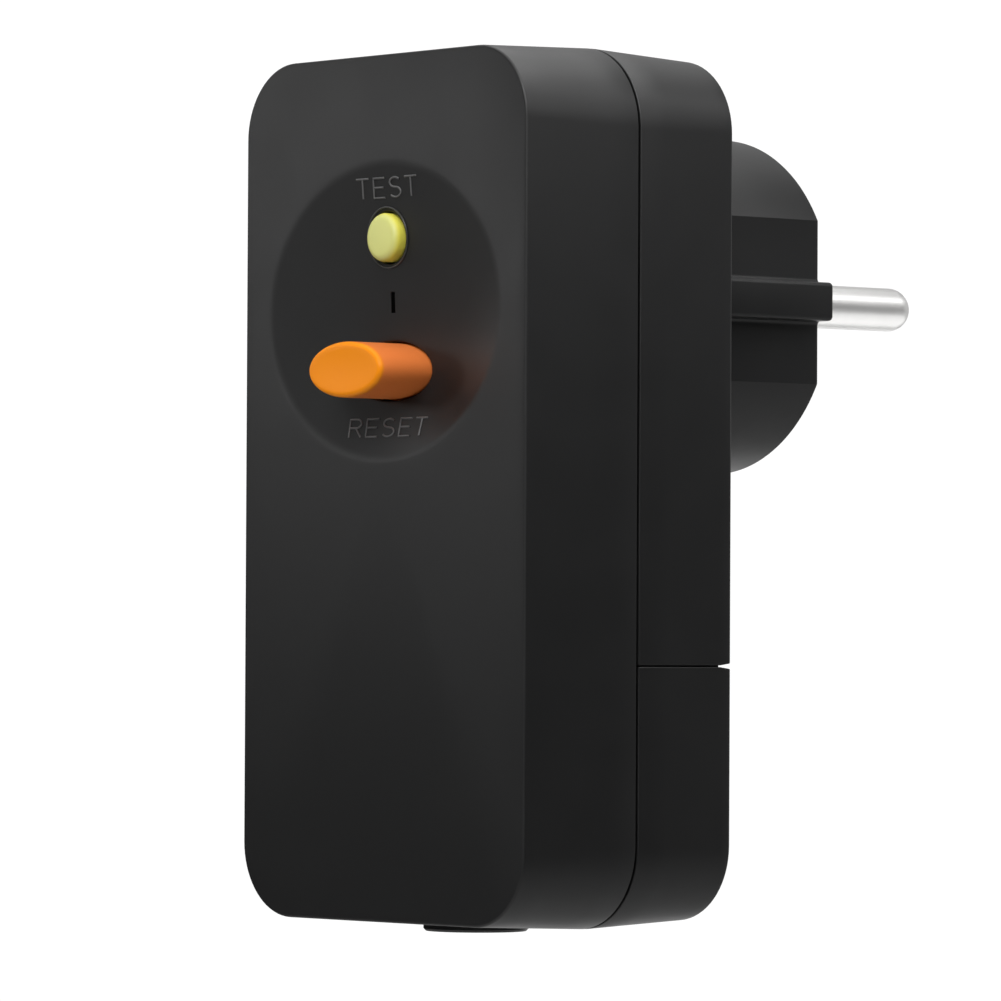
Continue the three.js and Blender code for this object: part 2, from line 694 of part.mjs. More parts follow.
function resetButton() {
  const { z, face } = RESET;
  const flange = RESET_FLANGE;
  const stem = RESET_STEM;
  const flangeBack = BUTTON_FLANGE_Y + flange.depth;
  return join(
    solid(extrudeY(resetOutline(0), face, BUTTON_FLANGE_Y + ROOT, 8).translate(0, 0, z)),
    box(
      [-flange.halfWidth, BUTTON_FLANGE_Y, z - flange.halfHeight],
      [flange.halfWidth, flangeBack, z + flange.halfHeight],
    ),
    box(
      [-stem.halfWidth, flangeBack - ROOT, z - stem.halfHeight],
      [stem.halfWidth, stem.back, z + stem.halfHeight],
    ),
  );
}

// The plate behind the buttons, with a hole for each button's stem.
function switchChassis() {
  const { front, back, halfWidth, low, high, testHole } = CHASSIS;
  const stem = RESET_STEM;
  return cut(
    solid(box([-halfWidth, front, low], [halfWidth, back, high])),
    box(
      [-stem.halfWidth - ROOT, front - PAST, RESET.z - stem.halfHeight - ROOT],
      [stem.halfWidth + ROOT, back + PAST, RESET.z + stem.halfHeight + ROOT],
    ),
    rodY(0, TEST.z, testHole, front - PAST, back + PAST, 12),
  );
}

function testContact() {
  const { halfWidth, halfHeight, front, back } = TEST_CONTACT;
  return box([-halfWidth, front, TEST.z - halfHeight], [halfWidth, back, TEST.z + halfHeight]);
}

function contact({ halfWidth, front, back }, side) {
  const x = side * CONTACT_X;
  return box([x - halfWidth, front, CONTACT_ROW.low], [x + halfWidth, back, CONTACT_ROW.high]);
}

piece('test_button', testButton(), YELLOW_PLASTIC);
piece('test_spring', coilSpring(TEST_SPRING).translate(0, TEST_SPRING.front, TEST.z), STEEL);
piece('test_contact', testContact(), COPPER);
piece('reset_button', resetButton(), ORANGE_PLASTIC);
piece('reset_spring', coilSpring(RESET_SPRING).translate(0, RESET_SPRING.front, RESET.z), STEEL);
piece('contact_carriage', box(
  [-CARRIAGE.halfWidth, CARRIAGE.front, CARRIAGE.low],
  [CARRIAGE.halfWidth, CARRIAGE.back, CARRIAGE.high],
), CREAM_PLASTIC);
piece('switch_chassis', switchChassis(), CREAM_PLASTIC);
for (const side of SIDES) {
  piece(`moving_contact_${sideName(side)}`, contact(MOVING_CONTACT, side), COPPER);
  piece(`fixed_contact_${sideName(side)}`, contact(FIXED_CONTACT, side), COPPER);
}

// ---------------------------------------------------------------- trip solenoid and latch

// A bracket with a base plate under the coil and an upright at each end.
function solenoidFrame() {
  const { y, z, left, right, halfDepth, plate, bore } = SOLENOID;
  const baseTop = z - COIL.outer - COIL.clearance;
  const bottom = baseTop - plate;
  const top = z + halfDepth;
  return cut(
    join(
      solid(box([left, y - halfDepth, bottom], [right, y + halfDepth, baseTop])),
      box([left, y - halfDepth, bottom], [left + plate, y + halfDepth, top]),
      box([right - plate, y - halfDepth, bottom], [right, y + halfDepth, top]),
    ),
    rodX(y, z, bore, left - PAST, right + PAST),
  );
}

function solenoidCoil() {
  const { left, right, outer, inner } = COIL;
  return cut(
    solid(rodX(SOLENOID.y, SOLENOID.z, outer, left, right, 20)),
    rodX(SOLENOID.y, SOLENOID.z, inner, left - PAST, right + PAST, 20),
  );
}

// A round rod with a pair of collars at its right end that hold the latch's foot.
function tripPlunger() {
  const { left, bodyEnd, radius, collar, collarWidth, neck, right } = PLUNGER;
  const profile = [
    [0, left],
    [radius, left],
    [radius, bodyEnd],
    [collar, bodyEnd],
    [collar, bodyEnd + collarWidth],
    [neck, bodyEnd + collarWidth],
    [neck, right - collarWidth],
    [collar, right - collarWidth],
    [collar, right],
    [0, right],
  ];
  return turned(profile, 0, 0, 14).rotateZ(-Math.PI / 2).translate(0, SOLENOID.y, SOLENOID.z);
}

// A rocking lever: its lower arm sits between the plunger's collars, its nose beside the carriage.
function latchLever() {
  const { x, z, hub, front, back, halfArm, reach } = LATCH;
  return cut(
    join(
      solid(rodY(x, z, hub, front, back, 20)),
      box([x - halfArm, front, z - LATCH_FOOT], [x + halfArm, back, z + reach]),
      box([x - LATCH_NOSE.reach, front, z + LATCH_NOSE.low], [x, back, z + reach]),
    ),
    rodY(x, z, LATCH_PIN.radius + GAP, front - PAST, back + PAST, 20),
  );
}

piece('solenoid_frame', solenoidFrame(), STEEL);
piece('solenoid_coil', solenoidCoil(), COPPER);
piece('trip_plunger', tripPlunger(), STEEL);
piece(
  'plunger_spring',
  coilSpring(PLUNGER_SPRING).rotateZ(-Math.PI / 2).translate(PLUNGER_SPRING.left, SOLENOID.y, SOLENOID.z),
  STEEL,
);
piece('latch_lever', latchLever(), CREAM_PLASTIC);
piece('latch_pin', rodY(LATCH.x, LATCH.z, LATCH_PIN.radius, LATCH_PIN.front, LATCH_PIN.back, 16), STEEL);

// ---------------------------------------------------------------- circuit

// The board narrows at its top, between the two upper screw bosses.
function boardOutline() {
  const { halfWidth, low, high } = BOARD;
  const neck = BOARD_NECK;
  return polygon([
    [-halfWidth, low],
    [halfWidth, low],
    [halfWidth, neck.low],
    [neck.halfWidth, neck.low],
    [neck.halfWidth, high],
    [-neck.halfWidth, high],
    [-neck.halfWidth, neck.low],
    [-halfWidth, neck.low],
  ]);
}

// A wire from an outer terminal, up through the transformer's ring and back to the board.
function conductor(side) {
  const route = new THREE.CatmullRomCurve3([
    new THREE.Vector3(side * 9, -36, -42),
    new THREE.Vector3(side * 8, -35.6, -39.5),
    new THREE.Vector3(side * 3, -35.2, -36.8),
    new THREE.Vector3(side * 1.8, -35, -33),
    new THREE.Vector3(side * 1.8, -35, -28),
    new THREE.Vector3(side * 5, -34.5, -25.6),
    new THREE.Vector3(side * 8.5, -31.5, -24.9),
    new THREE.Vector3(side * 9, -29.2, -24.8),
  ]);
  return alongCurve(route, CONDUCTOR.radius, CONDUCTOR.steps, CONDUCTOR.sides);
}

function currentTransformer() {
  const { y, low, high, outer, inner } = TRANSFORMER;
  return cut(solid(rodZ(0, y, outer, low, high, 32)), rodZ(0, y, inner, low - PAST, high + PAST, 20));
}

piece('circuit_board', extrudeY(boardOutline(), BOARD.front, BOARD.back), BOARD_GREEN);
piece('current_transformer', currentTransformer(), DARK_RESIN);
piece('conductor_left', conductor(-1), WIRE_BROWN);
piece('conductor_right', conductor(1), WIRE_BLUE);
piece('filter_capacitor', box(
  [CAPACITOR.left, CAPACITOR.front, CAPACITOR.low],
  [CAPACITOR.right, PARTS_BACK, CAPACITOR.high],
), BLUE_RESIN);
piece(
  'surge_varistor',
  rodY(VARISTOR.x, VARISTOR.z, VARISTOR.radius, VARISTOR.front, PARTS_BACK, 20),
  BLUE_RESIN,
);
piece(
  'test_resistor',
  rodX(RESISTOR.y, RESISTOR.z, RESISTOR.radius, RESISTOR.left, RESISTOR.right, 12),
  CREAM_PLASTIC,
);
piece('control_chip', box(
  [CHIP.left, CHIP.front, -CHIP.halfHeight],
  [CHIP.right, PARTS_BACK, CHIP.halfHeight],
), DARK_RESIN);

export default group;
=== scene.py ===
import json
from math import acos, ceil, cos, hypot, pi, radians, sin, sqrt, tau

import bmesh
import bpy
from mathutils import Matrix, Vector
from mathutils.geometry import delaunay_2d_cdt

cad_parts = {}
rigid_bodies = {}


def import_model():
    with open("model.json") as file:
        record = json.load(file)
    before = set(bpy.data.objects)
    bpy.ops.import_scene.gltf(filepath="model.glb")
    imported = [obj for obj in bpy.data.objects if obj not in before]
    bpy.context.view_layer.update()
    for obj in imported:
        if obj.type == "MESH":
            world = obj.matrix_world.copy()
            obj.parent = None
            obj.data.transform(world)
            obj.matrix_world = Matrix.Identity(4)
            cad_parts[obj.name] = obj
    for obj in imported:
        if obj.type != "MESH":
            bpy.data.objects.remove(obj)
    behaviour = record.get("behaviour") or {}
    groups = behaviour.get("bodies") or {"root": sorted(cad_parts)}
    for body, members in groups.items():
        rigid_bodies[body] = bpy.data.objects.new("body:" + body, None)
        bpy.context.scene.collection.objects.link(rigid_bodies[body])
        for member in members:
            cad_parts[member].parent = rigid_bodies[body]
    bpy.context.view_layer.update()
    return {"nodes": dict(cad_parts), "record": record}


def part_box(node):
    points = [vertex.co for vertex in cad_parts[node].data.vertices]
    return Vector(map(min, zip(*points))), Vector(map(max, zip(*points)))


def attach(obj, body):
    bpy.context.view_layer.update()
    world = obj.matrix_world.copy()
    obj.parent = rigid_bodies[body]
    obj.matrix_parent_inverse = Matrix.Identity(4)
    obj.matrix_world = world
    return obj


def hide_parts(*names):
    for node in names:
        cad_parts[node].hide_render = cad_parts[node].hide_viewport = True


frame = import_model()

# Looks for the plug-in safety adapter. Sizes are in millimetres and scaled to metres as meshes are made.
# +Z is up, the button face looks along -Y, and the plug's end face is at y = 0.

MM = 0.001


def cad_box(node):
    """A CAD node's lowest and highest corners, in millimetres."""
    low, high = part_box(node)
    return low / MM, high / MM


# ---------------- sizes, from the frame where it has them

FRONT_LOW, FRONT_HIGH = cad_box("front_shell")
REAR_LOW, REAR_HIGH = cad_box("rear_shell")
COVER_HIGH = cad_box("terminal_cover")[1]
PLUG_LOW, PLUG_HIGH = cad_box("plug_body")
TEST_LOW, TEST_HIGH = cad_box("test_button")
RESET_LOW, RESET_HIGH = cad_box("reset_button")
COLLAR_LOW, COLLAR_HIGH = cad_box("inlet_collar")

FRONT_Y = FRONT_LOW.y
LIP_FRONT_Y = REAR_LOW.y
LIP_REACH = 2.2                          # how far the rear half's lip stands in front of the parting
PARTING_Y = LIP_FRONT_Y + LIP_REACH
SEAM = 0.3
FRONT_BACK_Y = PARTING_Y                 # the front shell's edge at the seam
REAR_FRONT_Y = FRONT_BACK_Y + SEAM       # the rear shell's edge at the seam
REAR_Y = REAR_HIGH.y
MID_Z = (FRONT_LOW.z + FRONT_HIGH.z) / 2

# Outlines are (width, height, corner radius)
FRONT_OUTLINE = (47.0, 92.2, 8.0)
PARTING_OUTLINE = (48.0, 93.3, 9.0)
REAR_OUTLINE = (46.7, 92.0, 8.2)
LIP_CAVITY = (43.2, 88.4, 6.2)
FRONT_CAVITY = (40.9, 86.1, 5.2)
LIP_OUTER = (42.6, 87.8, 5.9)
REAR_CAVITY = (40.6, 85.8, 5.0)
FRONT_WALL = 3.0
REAR_WALL = 2.2
INSIDE_FRONT_Y = FRONT_Y + FRONT_WALL
INSIDE_REAR_Y = REAR_Y - REAR_WALL
SHOULDER_Y = PARTING_Y - 3.3

DISH = (19.35, 15.95)                    # half width and half height
DISH_DEPTH = 1.6
DISH_Z = -1.95
DISH_LOWEST = Vector((0.38, -0.5))       # where the deepest point lies, as shares of the half sizes
DISH_ROUNDNESS = 0.5                     # how broadly the dish is rounded at its deepest point
DISH_SOFTNESS = 0.03                     # share of the dish over which its rim rolls in
TEST_Z = (TEST_LOW.z + TEST_HIGH.z) / 2
TEST_RADIUS = 2.6
RESET_Z = (RESET_LOW.z + RESET_HIGH.z) / 2
RESET_SIZE = (12.2, 5.95)
BUTTON_GAP = 0.2
ON_MARK_SIZE = (0.65, 2.2)
ON_MARK_X = 0.25
ON_MARK_Z = -1.15

PLUG_RADIUS = 18.5
PLUG_FLAT = 16.2
RIB_REACH = 18.6
RIB_HALF = 2.1
PLUG_BACK_Y = PLUG_LOW.y
FLANGE_BACK_Y = INSIDE_REAR_Y - 0.3
PIN_X = 9.5
PIN_RADIUS = 2.4
GAP = 0.3

CORNER_STEPS = 18
SEAM_EDGE = 0.14                         # how far the edges at the seam are rounded
SHELL_SHARP = 28                         # edges of the shells turn sharp past this angle, in degrees
PLUG_SHARP = 24
BUTTON_SHARP = 35
THREAD_SHARP = 30
SMOOTH = 60


# ---------------- mesh helpers

def new_object(name, mesh, body=None):
    obj = bpy.data.objects.new(name, mesh)
    bpy.context.scene.collection.objects.link(obj)
    if body:
        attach(obj, body)
    return obj


def mesh_from(name, points, faces, sharp_angle=30):
    """A mesh from points in millimetres, its faces turned outwards and its edges sharp past an angle."""
    mesh = bpy.data.meshes.new(name)
    mesh.from_pydata([Vector(p) * MM for p in points], [], faces)
    tidy(mesh, sharp_angle)
    return mesh


def tidy(mesh, sharp_angle=30, weld=0.002):
    """Welds points that touch, turns the faces outwards and marks the sharp edges."""
    bm = bmesh.new()
    bm.from_mesh(mesh)
    bmesh.ops.remove_doubles(bm, verts=bm.verts, dist=weld * MM)
    bmesh.ops.dissolve_degenerate(bm, edges=bm.edges, dist=weld * MM / 4)
    bmesh.ops.recalc_face_normals(bm, faces=bm.faces)
    bm.to_mesh(mesh)
    bm.free()
    mesh.shade_smooth()
    mesh.set_sharp_from_angle(angle=radians(sharp_angle))


def quarter(steps):
    """The angles of a quarter turn, both ends with it."""
    return [pi / 2 * i / steps for i in range(steps + 1)]


def full_turn(steps, phase=0.0):
    """The angles of a full turn."""
    return [tau * (i + phase) / steps for i in range(steps)]


def rounded_outline(size, low=None, high=None, low_radius=None, high_radius=None, inset=0.0):
    """Points (x, z) round a rounded rectangle about the housing's middle.

    low and high replace its bottom and top edges, with corner radii of their own."""
    width, height, radius = size
    z_low = (MID_Z - height / 2 if low is None else low) + inset
    z_high = (MID_Z + height / 2 if high is None else high) - inset
    x = width / 2 - inset
    r_low = max((radius if low is None else low_radius) - inset, 0.02)
    r_high = max((radius if high is None else high_radius) - inset, 0.02)
    corners = [
        (x - r_low, z_low + r_low, r_low, -pi / 2),
        (x - r_high, z_high - r_high, r_high, 0),
        (-x + r_high, z_high - r_high, r_high, pi / 2),
        (-x + r_low, z_low + r_low, r_low, pi),
    ]
    return [
        (cx + r * cos(start + a), cz + r * sin(start + a))
        for cx, cz, r, start in corners
        for a in quarter(CORNER_STEPS)
    ]


def mix(a, b, t):
    """Goes from one tuple to another as t goes from 0 to 1."""
    return tuple(p + (q - p) * t for p, q in zip(a, b))


def loft(rings, closed=True):
    """Points and faces of a skin over rings of (x, y, z) points; closed caps both of its ends."""
    count = len(rings[0])
    points = [p for ring in rings for p in ring]
    faces = []
    for k in range(len(rings) - 1):
        for i in range(count):
            j = (i + 1) % count
            faces.append((k * count + i, k * count + j, (k + 1) * count + j, (k + 1) * count + i))
    if closed:
        faces.append(tuple(range(count)))
        faces.append(tuple(range(len(points) - count, len(points))))
    return points, faces


def hoop(rings):
    """Points and faces of a closed hoop through rings of points."""
    count = len(rings[0])
    points = [p for ring in rings for p in ring]
    faces = []
    for i in range(len(rings)):
        j = (i + 1) % len(rings)
        for k in range(count):
            m = (k + 1) % count
            faces.append((i * count + k, j * count + k, j * count + m, i * count + m))
    return points, faces


def at_y(outline, y):
    return [(x, y, z) for x, z in outline]


ON_AXIS = 1e-6                           # a radius below this is a point on the axis


def turned(profile, centre=(0, 0), axis="Y", sides=64):
    """A closed turned solid; profile is (radius, height) from one end of the axis to the other."""
    points, faces, starts = [], [], []
    for radius, height in profile:
        starts.append(len(points))
        for a in full_turn(1 if radius < ON_AXIS else sides):
            points.append(place(centre[0] + radius * cos(a), centre[1] + radius * sin(a), height, axis))

    def index(k, i):
        return starts[k] + (0 if profile[k][0] < ON_AXIS else i)

    for k in range(len(profile) - 1):
        for i in range(sides):
            j = (i + 1) % sides
            face = dict.fromkeys([index(k, i), index(k, j), index(k + 1, j), index(k + 1, i)])
            if len(face) > 2:
                faces.append(tuple(face))
    return points, faces


def place(a, b, height, axis):
    """A point with two coordinates across an axis and one along it."""
    return {"X": (height, a, b), "Y": (a, height, b), "Z": (a, b, height)}[axis]


def fillet(radius, steps):
    """Pairs (inset, rise) round a quarter circle, from the side wall to the face."""
    return [(radius * (1 - cos(a)), radius * sin(a)) for a in quarter(steps)]


def boolean(obj, tool_mesh, operation="DIFFERENCE"):
    """Cuts a tool out of an object's mesh, or joins it on."""
    tool = bpy.data.objects.new("tool", tool_mesh)
    bpy.context.scene.collection.objects.link(tool)
    modifier = obj.modifiers.new("cut", "BOOLEAN")
    modifier.operation = operation
    modifier.solver = "EXACT"
    modifier.object = tool
    graph = bpy.context.evaluated_depsgraph_get()
    result = bpy.data.meshes.new_from_object(obj.evaluated_get(graph))
    obj.modifiers.clear()
    obj.data = result
    bpy.data.objects.remove(tool)


def box_mesh(low, high):
    """A box between two corners."""
    points = [(x, y, z) for x in (low[0], high[0]) for y in (low[1], high[1]) for z in (low[2], high[2])]
    faces = [(0, 1, 3, 2), (4, 6, 7, 5), (0, 4, 5, 1), (2, 3, 7, 6), (0, 2, 6, 4), (1, 5, 7, 3)]
    return mesh_from("tool", points, faces)


def turned_mesh(profile, centre=(0, 0), axis="Y", sides=64, name="tool"):
    return mesh_from(name, *turned(profile, centre, axis, sides))


def rod(radius, start, end, centre=(0, 0), axis="Y", sides=64):
    """A plain cylinder."""
    return turned_mesh([(0, start), (radius, start), (radius, end), (0, end)], centre, axis, sides)


def finish_piece(name, mesh, body, slot, *nodes, material=None):
    """Puts a finished mesh into the scene as a piece that stands for CAD nodes."""
    obj = new_object(name, mesh, body)
    obj.data.materials.clear()
    obj.data.materials.append(material or MATERIALS[slot])
    if nodes:
        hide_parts(*nodes)
    return obj


# ---------------- materials

class Nodes:
    """A small helper that builds one material's node tree."""

    def __init__(self, name):
        self.material = bpy.data.materials.new(name)
        self.material.use_nodes = True
        self.tree = self.material.node_tree
        self.shader = self.tree.nodes["Principled BSDF"]
        self.coordinates = self.node("TexCoord").outputs["Object"]

    def feed(self, socket, value):
        """Links a socket to another node's output, or sets it to a plain value."""
        if isinstance(value, bpy.types.NodeSocket):
            self.tree.links.new(value, socket)
        else:
            socket.default_value = value

    def set(self, node=None, **inputs):
        """Feeds a node's inputs, the shader's own ones if no node is given; _ stands for a space."""
        node = node or self.shader
        for key, value in inputs.items():
            self.feed(node.inputs[key.replace("_", " ")], value)

    def node(self, kind, **inputs):
        node = self.tree.nodes.new("ShaderNode" + kind)
        self.set(node, **inputs)
        return node

    def calculate(self, kind, operation, *values):
        """The outputs of a Math or VectorMath node, its inputs fed in order."""
        node = self.node(kind)
        node.operation = operation
        for socket, value in zip(node.inputs, values):
            self.feed(socket, value)
        return node.outputs

    def noise(self, scale, detail=3.0, stretch=(1, 1, 1)):
        stretched = self.node("Mapping", Scale=stretch, Vector=self.coordinates).outputs["Vector"]
        return self.node("TexNoise", Scale=scale, Detail=detail, Vector=stretched).outputs["Fac"]

    def speckle(self, scale):
        return self.node("TexVoronoi", Scale=scale, Vector=self.coordinates).outputs["Distance"]

    def ramp(self, value, low, high, start=0.3, end=0.7):
        """Maps the values from start to end onto low to high."""
        node = self.node("MapRange", Value=value, From_Min=start, From_Max=end, To_Min=low, To_Max=high)
        return node.outputs["Result"]

    def shades(self, value, dark, light, start=0.3, end=0.7):
        """Maps the values from start to end onto two colours."""
        node = self.node("ValToRGB", Fac=value)
        for element, position, colour in zip(node.color_ramp.elements, (start, end), (dark, light)):
            element.position = position
            element.color = (*colour, 1)
        return node.outputs["Color"]

    def blend(self, factor, first, second):
        """Goes from the first colour to the second as the factor goes from 0 to 1."""
        node = self.node("Mix")
        node.data_type = "RGBA"
        self.set(node, Factor=factor, A=first, B=second)
        return node.outputs["Result"]

    def along(self, direction, vector=None):
        """How far a point lies along a direction."""
        return self.calculate("VectorMath", "DOT_PRODUCT", vector or self.coordinates, direction)["Value"]

    def dish_shade_and_finish(self):
        """1 on the dished panel and 0 round it, where its rougher finish and its painted shade lie; it
        fades out towards the lower right, where the light falls on the panel's slope.
        """
        to_shares, middle = (1 / (DISH[0] * MM), 0, 1 / (DISH[1] * MM)), (0, 0, -DISH_Z / DISH[1])
        shares = self.calculate("VectorMath", "MULTIPLY_ADD", self.coordinates, to_shares, middle)["Vector"]
        reach = self.calculate("VectorMath", "LENGTH", shares)["Value"]
        shade_and_finish_mask = self.ramp(reach, 1, 0, 0.955, 1.01)
        fade = self.ramp(self.along((0.707, 0, -0.707), shares), 1, 0, 0.45, 0.9)
        return self.calculate("Math", "MULTIPLY", shade_and_finish_mask, fade)["Value"]

    def bump(self, height, strength, distance, **after):
        node = self.node("Bump", Height=height, Strength=strength, Distance=distance, **after)
        return node.outputs["Normal"]


def scaled(colour, factor):
    return tuple(c * factor for c in colour)


def clouded(nodes, clouds, colour, variation):
    """A colour that drifts a little lighter and darker with the clouds."""
    return nodes.shades(clouds, scaled(colour, 1 - variation), scaled(colour, 1 + variation))


def moulded_plastic(name, colour, roughness, grain=2600.0, grain_depth=2.5e-6, variation=0.04, dish=None,
                    depth=None, shine=0.5):
    """Moulded plastic: a fine sparked grain, faint flow clouds and slightly uneven gloss.

    dish gives the dished panel a rougher finish of its own and a darker colour that paints the shade in the
    recess: a share of the colour and an extra roughness.
    depth gives a colour that takes over between two distances behind the face, painted on the button's side
    for how the light falls on it: colour, start and end."""
    n = Nodes(name)
    clouds = n.noise(45, 4)
    paint = clouded(n, clouds, colour, variation)
    gloss = n.ramp(n.noise(160, 5), roughness - 0.015, roughness + 0.02)
    if dish:
        share, extra = dish
        shade_and_finish_mask = n.dish_shade_and_finish()
        # the panel's colour turns darker here: painted shade in the recess
        paint = n.blend(shade_and_finish_mask, paint, clouded(n, clouds, scaled(colour, share), variation))
        gloss = n.calculate("Math", "ADD", gloss, n.ramp(shade_and_finish_mask, 0, extra, 0, 1))["Value"]
    if depth:
        # the side behind the face takes a colour painted for how the light falls there
        side_shade_colour, start, end = depth
        behind = n.ramp(n.along((0, 1, 0)), 0, 1, start * MM, end * MM)
        paint = n.blend(behind, paint, clouded(n, clouds, side_shade_colour, variation))
    grained = n.bump(n.noise(grain, 2), 0.5, grain_depth)
    pitted = n.bump(n.speckle(grain * 0.7), 0.25, grain_depth, Normal=grained)
    n.set(Base_Color=paint, Roughness=gloss, Normal=pitted, Metallic=0.0, IOR=1.5, Specular_IOR_Level=shine)
    return n.material


def plated_metal(name, colour, roughness, streaks=(1, 1, 1), depth=1.5e-6):
    """Plated or drawn metal: fine machining streaks along one direction and cloudy polish."""
    n = Nodes(name)
    lines = n.noise(900, 4, streaks)
    haze = n.shades(n.noise(130, 4), scaled(colour, 0.93), scaled(colour, 1.04))
    gloss = n.ramp(lines, roughness - 0.03, roughness + 0.04)
    n.set(Base_Color=haze, Roughness=gloss, Normal=n.bump(lines, 0.5, depth), Metallic=1.0)
    return n.material


def wound_copper(name, colour):
    """Enamelled wire wound round the X axis, turn beside turn; it is painted darker in the grooves between
    the turns, a painted shade.
    """
    n = Nodes(name)
    wave = n.node("TexWave", Scale=900, Distortion=0.4, Vector=n.coordinates)
    wave.bands_direction = "X"
    turns = wave.outputs["Fac"]
    enamel_and_groove_shade = n.shades(turns, scaled(colour, 0.35), colour, 0.1, 0.8)
    gloss = n.ramp(n.noise(300), 0.25, 0.4)
    n.set(Base_Color=enamel_and_groove_shade, Roughness=gloss, Normal=n.bump(turns, 0.8, 1e-4), Metallic=0.8)
    return n.material


def board_laminate(name, colour):
    """Lacquered board with darker and lighter copper runs under the lacquer."""
    n = Nodes(name)
    darker, lighter = scaled(colour, 0.8), scaled(colour, 1.9)
    runs = n.node("TexBrick", Scale=260, Mortar_Size=0.03, Color1=(*colour, 1), Color2=(*darker, 1),
                  Mortar=(*lighter, 1), Vector=n.coordinates)
    gloss = n.ramp(n.noise(400), 0.3, 0.45)
    raised = n.bump(runs.outputs["Fac"], 0.4, 3e-5)
    n.set(Base_Color=runs.outputs["Color"], Roughness=gloss, Normal=raised)
    return n.material


# Colours painted on the buttons' sides for how the light falls on them, darker and redder on RESET: colour,
# start and end behind the face
RESET_SIDE_SHADE = ((0.88, 0.23, 0.052), RESET_LOW.y + 0.3, RESET_LOW.y + 0.75)
TEST_SIDE_SHADE = ((0.83, 0.77, 0.10), TEST_LOW.y + 0.2, TEST_LOW.y + 0.6)
BUTTON_GRAIN = (2200.0, 1.5e-6, 0.03)
MATERIALS = {}


def material(make, name, *looks, **more):
    MATERIALS[name] = make(name, *looks, **more)


material(moulded_plastic, "housing_plastic", (0.0070, 0.0070, 0.0072), 0.44)
material(moulded_plastic, "collar_plastic", (0.0065, 0.0065, 0.0067), 0.42)
material(moulded_plastic, "seal_rubber", (0.012, 0.012, 0.012), 0.8, 1500.0, 5e-6)
material(moulded_plastic, "test_plastic", (0.69, 0.70, 0.225), 0.42, *BUTTON_GRAIN, depth=TEST_SIDE_SHADE)
material(moulded_plastic, "reset_plastic", (0.99, 0.295, 0.003), 0.42, *BUTTON_GRAIN,
         depth=RESET_SIDE_SHADE, shine=0.2)
material(moulded_plastic, "inner_plastic", (0.62, 0.58, 0.49), 0.5)
material(moulded_plastic, "dark_resin", (0.02, 0.02, 0.025), 0.35, 900.0)
material(moulded_plastic, "blue_resin", (0.02, 0.08, 0.3), 0.28, 500.0, 6e-6)
material(moulded_plastic, "wire_brown", (0.12, 0.05, 0.02), 0.4)
material(moulded_plastic, "wire_blue", (0.03, 0.12, 0.4), 0.4)
material(plated_metal, "pin_nickel", (0.78, 0.775, 0.765), 0.36, (1, 0.04, 1), 0.6e-6)
material(plated_metal, "earth_nickel", (0.70, 0.69, 0.66), 0.34, (1, 0.04, 1), 0.4e-6)
material(plated_metal, "screw_steel", (0.50, 0.50, 0.51), 0.3)
material(plated_metal, "spring_steel", (0.42, 0.42, 0.43), 0.3)
material(plated_metal, "frame_steel", (0.52, 0.52, 0.52), 0.35, (1, 1, 0.05))
material(plated_metal, "terminal_brass", (0.72, 0.52, 0.2), 0.3, (0.05, 1, 1))
material(plated_metal, "contact_copper", (0.72, 0.4, 0.22), 0.3, (0.05, 1, 1))
material(wound_copper, "coil_winding", (0.6, 0.25, 0.1))
material(board_laminate, "board_laminate", (0.02, 0.12, 0.05))

for row in frame["record"]["subparts"]:
    data = frame["nodes"][row["node"]].data
    data.materials.clear()
    data.materials.append(MATERIALS[row["material_slot"]])


# ---------------- front shell

def dish_depth(x, z):
    """How far the dished panel lies behind the front face: a scoop, deepest low down, with a soft rim."""
    away = Vector((x / DISH[0], (z - DISH_Z) / DISH[1])) - DISH_LOWEST
    # how far out the point lies between the deepest point and the ellipse, along the same ray
    along = away.dot(DISH_LOWEST)
    inner = 1 - DISH_LOWEST.length_squared
    share = (along + sqrt(along * along + inner * away.length_squared)) / inner
    rim = hypot(1, DISH_ROUNDNESS)
    fall = (rim - hypot(share, DISH_ROUNDNESS)) / (rim - DISH_ROUNDNESS)
    # a smooth clamp at zero, so that the rim has no crease
    return DISH_DEPTH * (fall + hypot(fall, DISH_SOFTNESS)) / 2


def ellipse(half_width, half_height, z, count=64, phase=0.0):
    """Points (x, z) round an ellipse that stands at a height."""
    return [(half_width * cos(a), z + half_height * sin(a)) for a in full_turn(count, phase)]


def reset_outline(share=1.0, inset=0.0):
    """Points (x, z) round the RESET button; a negative inset goes round its hole."""
    across, up = RESET_SIZE[0] / 2 - inset, RESET_SIZE[1] / 2 - inset
    return ellipse(across * share, up * share, RESET_Z, 72, 0.5)


def rectangle(width, height, x, z):
    across, up = width / 2, height / 2
    return [(x - across, z - up), (x + across, z - up), (x + across, z + up), (x - across, z + up)]


def inside(point, loop):
    """Whether a point lies inside a loop, by counting the edges to its right."""
    x, z = point
    hit = False
    for (x1, z1), (x2, z2) in zip(loop, loop[1:] + loop[:1]):
        if (z1 > z) != (z2 > z) and x < (x2 - x1) * (z - z1) / (z2 - z1) + x1:
            hit = not hit
    return hit


def grown(loop, amount):
    """A loop moved out from its middle by an amount, for small ovals and rectangles."""
    cx = sum(p[0] for p in loop) / len(loop)
    cz = sum(p[1] for p in loop) / len(loop)
    result = []
    for x, z in loop:
        reach = hypot(x - cx, z - cz)
        result.append((x + (x - cx) / reach * amount, z + (z - cz) / reach * amount))
    return result


